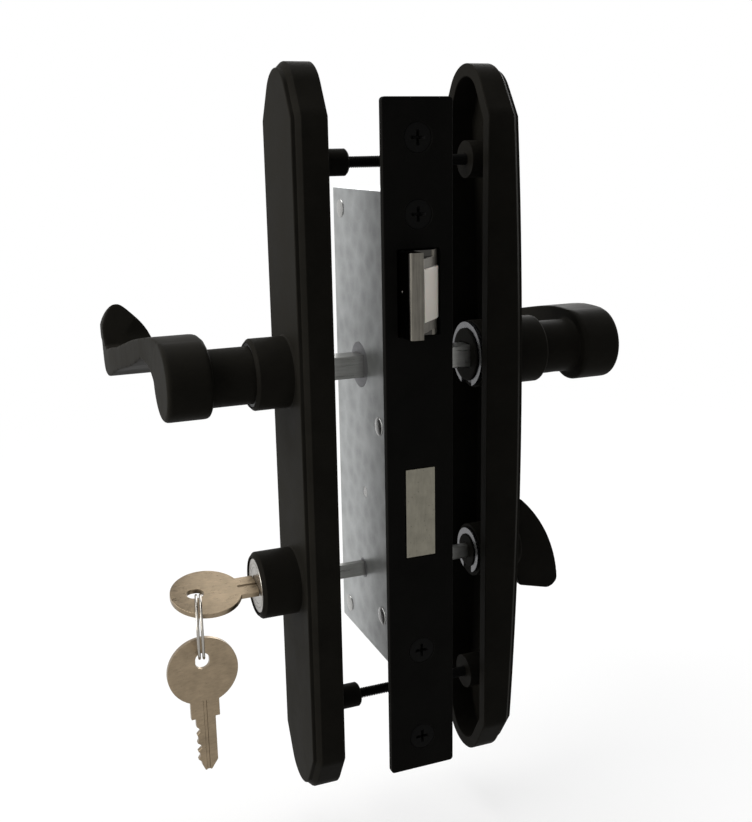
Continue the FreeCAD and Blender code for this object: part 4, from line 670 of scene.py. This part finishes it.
def post(start, end, radius, z):
    """A cast bolt post with a bevelled end."""
    length = abs(end - start)
    rows = [(0, radius), (length - post_bevel, radius), (length, radius - post_bevel)]
    return turned(rows, (start, spindle_y, z), (end - start, 0, 0), segments=48)


def bore(start, end, radius, z):
    """A round hole along X."""
    return turned([(0, radius), (end - start, radius)], (start, spindle_y, z), (1, 0, 0), round_steps)


bolt_box_low, bolt_box_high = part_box("escutcheon_bolts")
post_heights = (bolt_box_high.z - bolt_head, bolt_box_low.z + bolt_head)
outside_face = outside_door - outside_height
inside_face = inside_door + inside_height
outside_shell = shield(rim_rings(outside_height), outside_door, -1)
outside_solids = [
    collar(out_collar_high.x, outside_face, out_collar_low.x, collar_radius, spindle_z),
    collar(lock_collar_high.x, outside_face, lock_collar_low.x, lock_collar_radius, lock_z),
]
outside_solids += [post(outside_face + post_sink, out_high.x, outside_post, z) for z in post_heights]
outside_holes = [
    bore(out_collar_low.x - overrun, 0, lever_bore, spindle_z),
    bore(lock_collar_low.x - overrun, 0, lock_bore, lock_z),
]
outside_holes += [bore(outside_face + bolt_hole_floor, 0, bolt_hole, z) for z in post_heights]
outside_mesh = combined(combined(outside_shell, outside_solids, "UNION"), outside_holes, "DIFFERENCE")
outside_name = "outside_escutcheon_casting"
outside_shield = finished(outside_name, outside_mesh, satin_black, "case_and_trim")
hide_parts("outside_escutcheon", "outside_lever_collar", "cylinder_collar")

inside_shell = shield(rim_rings(inside_height), inside_door, 1, crown_curve)
bolt_seat = inside_face - crown_drop - bolt_head_height
inside_solids = [
    collar(in_collar_low.x, inside_face, in_collar_high.x, collar_radius, spindle_z),
    post(boss_low.x, boss_high.x, boss_radius, lock_z),
]
inside_solids += [post(inside_door, bolt_seat + bolt_head_height, inside_post, z) for z in post_heights]
inside_holes = [
    bore(inside_door - overrun, in_collar_high.x + overrun, lever_bore, spindle_z),
    bore(inside_door - overrun, boss_high.x + overrun, boss_bore, lock_z),
]
for z in post_heights:
    inside_holes.append(bore(inside_door - overrun, inside_face, bolt_hole, z))
    inside_holes.append(bore(bolt_seat, inside_face, bolt_head + bolt_head_play, z))
inside_mesh = combined(combined(inside_shell, inside_solids, "UNION"), inside_holes, "DIFFERENCE")
inside_name = "inside_escutcheon_casting"
inside_shield = finished(inside_name, inside_mesh, satin_black, "case_and_trim")
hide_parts("inside_escutcheon", "inside_lever_collar", "thumb_turn_boss")

# Escutcheon bolts. Two black machine screws from the inside escutcheon draw the pair together. Their pan
# heads lie in counterbores, with a cross recess.

plain_shank = 1.9 * MM
plain_length = 20 * MM
bolt_core = 1.55 * MM
bolt_crest = 2 * MM
bolt_pitch = 0.7 * MM
bolt_recess = (4.4 * MM, 1 * MM, 1.6 * MM)


def escutcheon_bolt(z):
    """A pan-head machine screw along X, its tip in the outside escutcheon's post."""
    height = bolt_box_high.x - bolt_seat
    rows = [
        (0, bolt_head * 0.5),
        (0.12 * MM, bolt_head * 0.8),
        (0.5 * MM, bolt_head * 0.96),
        (1.1 * MM, bolt_head),
        (height, bolt_head),
        (height + 0.02 * MM, plain_shank),
        (height + plain_length, plain_shank),
    ]
    thread_from = height + plain_length + 0.5 * MM
    thread_to = bolt_box_high.x - bolt_box_low.x
    rows += thread(bolt_core, bolt_crest, bolt_pitch, thread_from, thread_to, rows_per_turn=6)
    solid = turned(rows, (bolt_box_high.x, spindle_y, z), (-1, 0, 0), segments=32)
    cross = cross_cutter((bolt_box_high.x, spindle_y, z), (-1, 0, 0), bolt_recess)
    return combined(solid, cross, "DIFFERENCE")


bolts_mesh = joined([escutcheon_bolt(z) for z in post_heights])
bolts = finished("escutcheon_machine_screws", bolts_mesh, screw_black, "case_and_trim")
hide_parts("escutcheon_bolts")

# Lever bushes. A moulded nylon tube lines each collar, so that the lever's neck turns without play or wear
# on its coating. Only the bevelled end shows between the collar and the neck.


def moulded(name, colour, rough, glow):
    """A moulded plastic: even colour, faint flow marks, soft light inside it."""
    made, nodes, links, shader, place = new_finish(name)
    flow = node_with(nodes, "ShaderNodeTexNoise", Scale=220, Detail=4)
    colours = nodes.new("ShaderNodeValToRGB")
    colours.color_ramp.elements[0].color = (*[c * 0.93 for c in colour], 1)
    colours.color_ramp.elements[1].color = (*[min(1, c * 1.03) for c in colour], 1)
    relief = node_with(nodes, "ShaderNodeBump", Strength=0.08, Distance=0.1 * MM)
    links.new(place, flow.inputs["Vector"])
    links.new(flow.outputs["Fac"], colours.inputs["Fac"])
    links.new(flow.outputs["Fac"], relief.inputs["Height"])
    links.new(colours.outputs["Color"], shader.inputs["Base Color"])
    links.new(relief.outputs["Normal"], shader.inputs["Normal"])
    shader.inputs["Roughness"].default_value = rough
    shader.inputs["Subsurface Weight"].default_value = glow
    shader.inputs["Subsurface Scale"].default_value = 1 * MM
    return made


black_nylon = moulded("black_nylon", (0.02, 0.02, 0.021), 0.5, 0.0)
bush_bore = 9.9 * MM
bush_bevel = 0.2 * MM
for bush in ("outside_lever_bush", "inside_lever_bush"):
    low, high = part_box(bush)
    outer = (high.y - low.y) / 2
    length = high.x - low.x
    bush_rows = [
        (0, outer - bush_bevel),
        (bush_bevel, outer),
        (length - bush_bevel, outer),
        (length, outer - bush_bevel),
    ]
    solid = turned(bush_rows, (low.x, spindle_y, spindle_z), (1, 0, 0), round_steps)
    tube = combined(solid, [bore(low.x - overrun, high.x + overrun, bush_bore, spindle_z)], "DIFFERENCE")
    piece = finished(f"{bush}_tube", tube, black_nylon, "case_and_trim")
    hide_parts(bush)

# Follower hub, square spindle and what holds the levers on. The hub is die cast, the spindle is plated bar,
# and a spring ring snaps into the groove of each neck.

die_cast = metal("die_cast_zinc", (0.24, 0.24, 0.25), 0.5, cloudy=0.14)
plated_bar = metal("plated_bar", (0.3, 0.3, 0.285), 0.32, (16, 1, 1), streak=0.14)
spring_steel = metal("spring_steel", (0.13, 0.13, 0.135), 0.28)
hub_edge = 0.3 * MM
spindle_edge = 0.35 * MM
snap_ring_edge = 0.12 * MM
set_screw_edge = 0.1 * MM
eased("follower_hub", "cast_follower_hub", hub_edge, die_cast, "levers")
eased("lever_spindle", "square_spindle", spindle_edge, plated_bar, "levers")
eased("outside_lever_ring", "outside_snap_ring", snap_ring_edge, spring_steel, "levers")
eased("inside_lever_ring", "inside_snap_ring", snap_ring_edge, spring_steel, "levers")
eased("lever_set_screw", "socket_set_screw", set_screw_edge, spring_steel, "levers")

# Levers. Each is one zinc casting: neck, round head and a wave-shaped grip with a turned-up tip. The pattern
# is blended by hand before moulding, so no edge of it is sharp, and it is coated like the escutcheons.

lever_grain = 0.42 * MM


def blended(node, name, grain, material, body, rounds=8):
    """The node's solid with every edge softly rounded, as on a fettled casting."""
    thing = loose(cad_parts[node].data.copy())
    remesh = thing.modifiers.new("even", "REMESH")
    remesh.mode = "VOXEL"
    remesh.voxel_size = grain
    soften = thing.modifiers.new("soften", "SMOOTH")
    soften.factor = 0.5
    soften.iterations = rounds
    piece = finished(name, settled(thing), material, body, sharp_degrees=180)
    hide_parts(node)


blended("outside_lever", "outside_lever_casting", lever_grain, satin_black, "levers")
blended("inside_lever", "inside_lever_casting", lever_grain, satin_black, "levers")

# Latch bolt. A cast core slides in the case. A formed steel cap, rolled round its near edge, covers its nose
# and slope, and a white nylon strip in the slope makes it ride quietly. The core's side shows the small mark
# of the punch that staked the cap to it.


def standing(outline, low, high):
    """An upright prism from an outline in X and Y."""
    work = bmesh.new()
    rings = [[work.verts.new((x, y, z)) for x, y in outline] for z in (low, high)]
    banded(work, rings)
    work.faces.new(rings[0])
    work.faces.new(rings[1])
    return mesh_from(work, "standing")


latch_steel = metal("latch_steel", (0.105, 0.098, 0.084), 0.4, (1, 1, 22), streak=0.3, cloudy=0.16)
# The core's near-black colour is a painted reflection: it stands for the black faceplate that its polished
# side mirrors.
latch_core_painted_reflection = metal("latch_core_zinc_painted_reflection", (0.04, 0.038, 0.035), 0.12, cloudy=0.14)
white_nylon = moulded("white_nylon", (0.68, 0.63, 0.55), 0.38, 0.15)
roll_radius = 1.6 * MM
roll_middle = (latch_low.x + roll_radius, latch_low.y + roll_radius)
clear_x, clear_y = latch_low.x - roll_radius, latch_low.y - roll_radius
waste = [(roll_middle[0], clear_y), (clear_x, clear_y), (clear_x, roll_middle[1])]
waste += arc_points(roll_middle, roll_radius, 180, 270, 8)


def rolled_off():
    """What the roll leaves off the latch's near edge, from below it to above it."""
    return standing(waste, latch_low.z - roll_radius, latch_high.z + roll_radius)


latch_edge = 0.25 * MM
nylon_edge = 0.3 * MM
stake_spot = (latch_low.x, -5.1 * MM, 56.2 * MM)
stake_rows = [(0, 0.55 * MM), (0.12 * MM, 0.4 * MM), (0.2 * MM, 0.18 * MM), (0.22 * MM, 0.0)]
stake = turned(stake_rows, stake_spot, (-1, 0, 0), segments=24)
eased(
    "latch_bolt",
    "latch_core",
    latch_edge,
    latch_core_painted_reflection,
    "latch",
    cutters=[rolled_off()],
    extras=[stake],
)
eased("latch_cap", "latch_steel_cap", latch_edge, latch_steel, "latch", cutters=[rolled_off()])
eased("latch_insert", "latch_nylon_strip", nylon_edge, white_nylon, "latch")

# Latch spring. Music wire, coiled round the latch's tail rod between its lug and the back of the case.

coil_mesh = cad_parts["latch_spring"].data.copy()
latch_spring = finished("latch_coil_spring", coil_mesh, spring_steel, "case_and_trim")
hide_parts("latch_spring")
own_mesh(latch_spring)

# Deadbolt. A solid steel bolt, satin plated, drawn back flush with the faceplate. Its face shows the upright
# lines of the belt that finished it.

deadbolt_edge = 0.45 * MM
cam_edge = 0.25 * MM
strip_steel_edge = 0.08 * MM
bolt_plate = metal(
    "satin_bolt_plate", (0.165, 0.155, 0.125), 0.42, reach=(1, 1, 8), streak=0.12, cloudy=0.16, pits=0.3
)
eased("deadbolt", "deadbolt_bar", deadbolt_edge, bolt_plate, "bolt")
eased("deadbolt_cam", "cast_deadbolt_cam", cam_edge, die_cast, "lock_drive")
leaf_name = "deadbolt_friction_leaf"
eased("bolt_friction_leaf", leaf_name, strip_steel_edge, spring_steel, "case_and_trim")

# Lock cylinder. A plated brass barrel held by a nut behind the escutcheon; the plug in it has the keyway, and
# five stamped wafers and a spring clip at its tail.

cylinder_plate = metal("nickel_cylinder", (0.3, 0.285, 0.26), 0.3, streak=0.16, cloudy=0.16)
wafer_brass = metal("wafer_brass", (0.5, 0.37, 0.16), 0.3)
barrel_low, barrel_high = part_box("lock_cylinder")
barrel_radius = (barrel_high.y - barrel_low.y) / 2
plug_radius = 6.4 * MM
plug_play = 0.05 * MM
barrel_length = barrel_high.x - barrel_low.x
barrel_solid = turned(
    [
        (0, plug_radius + 1.2 * MM),
        (0.25 * MM, plug_radius + 1.5 * MM),
        (0.02 * MM, plug_radius + 1.8 * MM),
        (0.0, barrel_radius - 0.5 * MM),
        (0.4 * MM, barrel_radius),
        (barrel_length - 0.3 * MM, barrel_radius),
        (barrel_length, barrel_radius - 0.3 * MM),
    ],
    (barrel_low.x, spindle_y, lock_z),
    (1, 0, 0),
    round_steps,
)
barrel_hole = bore(barrel_low.x - overrun, barrel_high.x + overrun, plug_radius + plug_play, lock_z)
barrel_mesh = combined(barrel_solid, [barrel_hole], "DIFFERENCE")
barrel = finished("cylinder_barrel", barrel_mesh, cylinder_plate, "case_and_trim")
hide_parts("lock_cylinder")
nut_edge = 0.2 * MM
plug_edge = 0.12 * MM
wafer_edge = 0.05 * MM
fine_angle = 40
tail_bar_edge = 0.2 * MM
eased("cylinder_nut", "cylinder_hexagon_nut", nut_edge, die_cast, "case_and_trim")
plug_name = "cylinder_keyed_plug"
eased("cylinder_plug", plug_name, plug_edge, cylinder_plate, "lock_drive", fine_angle)
eased("wafer_tumblers", "stamped_wafers", wafer_edge, wafer_brass, "lock_drive")
eased("plug_clip", "plug_spring_clip", strip_steel_edge, spring_steel, "lock_drive")
eased("lock_bar", "flat_tail_bar", tail_bar_edge, plated_bar, "lock_drive")

# Thumb turn. A black zinc casting, a flat sail-shaped paddle on a round base, held by a clip behind the
# escutcheon.

thumb_grain = 0.3 * MM
clip_name = "thumb_turn_spring_clip"
blended("thumb_turn", "thumb_turn_casting", thumb_grain, satin_black, "lock_drive")
eased("thumb_turn_clip", clip_name, strip_steel_edge, spring_steel, "lock_drive")

# Keys. Both are stamped from one nickel-silver strip, tumbled so that their edges are soft, and cut along one
# edge of the blade. One is in the plug, the other hangs from the ring. Their bows are plain, with the short
# level grain of the rolled strip.

grain_lean = (0, 1.45, 0)
key_edge = 0.18 * MM
key_silver = metal(
    "nickel_silver", (0.238, 0.186, 0.125), 0.32, reach=(1, 1, 3.5), lean=grain_lean, streak=0.13, cloudy=0.17
)
eased("inserted_key", "key_in_plug", key_edge, key_silver, "key_in_lock", fine_angle)
eased("spare_key", "key_on_ring", key_edge, key_silver, "hanging_key", fine_angle)

# Split ring. Nickel-plated spring wire wound in two flat turns that step past each other. It hangs in the
# inserted key's hole and carries the spare key. Only its finish is made here: the solid has its shape.

ring_plate = metal("nickel_ring", (0.34, 0.32, 0.29), 0.16, streak=0.04)
key_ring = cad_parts["key_ring"]
key_ring.data.materials.clear()
key_ring.data.materials.append(ring_plate)
key_ring.data.shade_smooth()

# Floor, light and camera. A pale floor below the lock fades to plain white away from it and keeps its shadow.
# One large soft lamp stands to the left as in the photograph, weaker ones above, to the right and behind.

floor_mesh = bpy.data.meshes.new("floor")
floor_half = 3
floor_drop = 20 * MM
floor_corners = [(floor_half * x, floor_half * y, 0) for x, y in ((-1, -1), (1, -1), (1, 1), (-1, 1))]
floor_mesh.from_pydata(floor_corners, [], [(0, 1, 2, 3)])
floor = bpy.data.objects.new("floor", floor_mesh)
floor.location = (0, spindle_y, out_low.z - floor_drop)
bpy.context.scene.collection.objects.link(floor)


def looked_at(nodes, links):
    """1 where the camera, a glossy ray or a transmitted ray looks, else 0."""
    path = nodes.new("ShaderNodeLightPath")
    either = nodes.new("ShaderNodeMath")
    either.operation = "MAXIMUM"
    third = nodes.new("ShaderNodeMath")
    third.operation = "MAXIMUM"
    links.new(path.outputs["Is Camera Ray"], either.inputs[0])
    links.new(path.outputs["Is Glossy Ray"], either.inputs[1])
    links.new(either.outputs["Value"], third.inputs[0])
    links.new(path.outputs["Is Transmission Ray"], third.inputs[1])
    return third.outputs["Value"]


pale_floor = bpy.data.materials.new("pale_floor")
pale_floor.use_nodes = True
floor_nodes, floor_links = pale_floor.node_tree.nodes, pale_floor.node_tree.links
lit_floor = floor_nodes["Principled BSDF"]
lit_floor.inputs["Base Color"].default_value = (0.42, 0.42, 0.42, 1)
lit_floor.inputs["Roughness"].default_value = 0.9
shown_floor = node_with(floor_nodes, "ShaderNodeBsdfDiffuse", Color=(0.95, 0.95, 0.95, 1))
white_floor = node_with(floor_nodes, "ShaderNodeEmission", Color=(1, 1, 1, 1))
floor_place = floor_nodes.new("ShaderNodeTexCoord")
floor_reach = floor_nodes.new("ShaderNodeVectorMath")
floor_reach.operation = "LENGTH"
fading = node_with(floor_nodes, "ShaderNodeMapRange", From_Min=0.1, From_Max=0.75, To_Min=0.66, To_Max=1)
fading.interpolation_type = "SMOOTHSTEP"
shown_mix = floor_nodes.new("ShaderNodeMixShader")
floor_mix = floor_nodes.new("ShaderNodeMixShader")
floor_links.new(floor_place.outputs["Object"], floor_reach.inputs[0])
floor_links.new(floor_reach.outputs["Value"], fading.inputs["Value"])
floor_links.new(fading.outputs["Result"], shown_mix.inputs["Fac"])
floor_links.new(shown_floor.outputs["BSDF"], shown_mix.inputs[1])
floor_links.new(white_floor.outputs["Emission"], shown_mix.inputs[2])
floor_links.new(looked_at(floor_nodes, floor_links), floor_mix.inputs["Fac"])
floor_links.new(lit_floor.outputs["BSDF"], floor_mix.inputs[1])
floor_links.new(shown_mix.outputs["Shader"], floor_mix.inputs[2])
floor_links.new(floor_mix.outputs["Shader"], floor_nodes["Material Output"].inputs["Surface"])
floor_mesh.materials.append(pale_floor)

world = bpy.data.worlds.new("studio")
bpy.context.scene.world = world
world.use_nodes = True
world_nodes, world_links = world.node_tree.nodes, world.node_tree.links
studio = world_nodes["Background"]
studio.inputs["Color"].default_value = (0.93, 0.96, 1.0, 1)
studio.inputs["Strength"].default_value = 0.055
white_world = node_with(world_nodes, "ShaderNodeBackground", Color=(1, 1, 1, 1))
world_mix = world_nodes.new("ShaderNodeMixShader")
world_links.new(looked_at(world_nodes, world_links), world_mix.inputs["Fac"])
world_links.new(studio.outputs["Background"], world_mix.inputs[1])
world_links.new(white_world.outputs["Background"], world_mix.inputs[2])
world_links.new(world_mix.outputs["Shader"], world_nodes["World Output"].inputs["Surface"])


def lamp(name, place, size, power, colour=(1, 1, 1)):
    """A square soft lamp that points at the middle of the lock."""
    data = bpy.data.lights.new(name, "AREA")
    data.shape = "SQUARE"
    data.size = size
    data.energy = power
    data.color = colour
    thing = bpy.data.objects.new(name, data)
    thing.location = place
    thing.rotation_euler = (Vector((0, spindle_y, 0)) - Vector(place)).to_track_quat("-Z", "Y").to_euler()
    bpy.context.scene.collection.objects.link(thing)


lamp("left_lamp", (-1.25, -0.03, 0.42), size=1.0, power=17, colour=(1, 0.985, 0.96))
lamp("top_lamp", (-0.15, 0.35, 1.2), size=0.9, power=10)
lamp("right_lamp", (1.2, 0.2, 0.45), size=0.9, power=8)
lamp("back_lamp", (0.8, 1.05, 0.5), size=0.9, power=9)

camera_data = bpy.data.cameras.new("camera")
camera_data.sensor_fit = "VERTICAL"
camera_data.sensor_height = 36
camera_data.lens = 46.73
camera_data.clip_start = 0.01
camera_place = (-0.13899, -0.314495, 0.10154)
camera_yaw = 0.37655
camera_pitch = 0.24468
camera_roll = -0.018
forward = Vector(
    (
        math.sin(camera_yaw) * math.cos(camera_pitch),
        math.cos(camera_yaw) * math.cos(camera_pitch),
        -math.sin(camera_pitch),
    )
)
level = Vector((math.cos(camera_yaw), -math.sin(camera_yaw), 0))
upright = level.cross(forward)
right = level * math.cos(camera_roll) + upright * math.sin(camera_roll)
up = upright * math.cos(camera_roll) - level * math.sin(camera_roll)
camera = bpy.data.objects.new("camera", camera_data)
camera_turn = Matrix((right, up, -forward)).transposed().to_4x4()
camera.matrix_world = Matrix.Translation(camera_place) @ camera_turn
bpy.context.scene.collection.objects.link(camera)
bpy.context.scene.camera = camera
bpy.context.scene.view_settings.view_transform = "Standard"
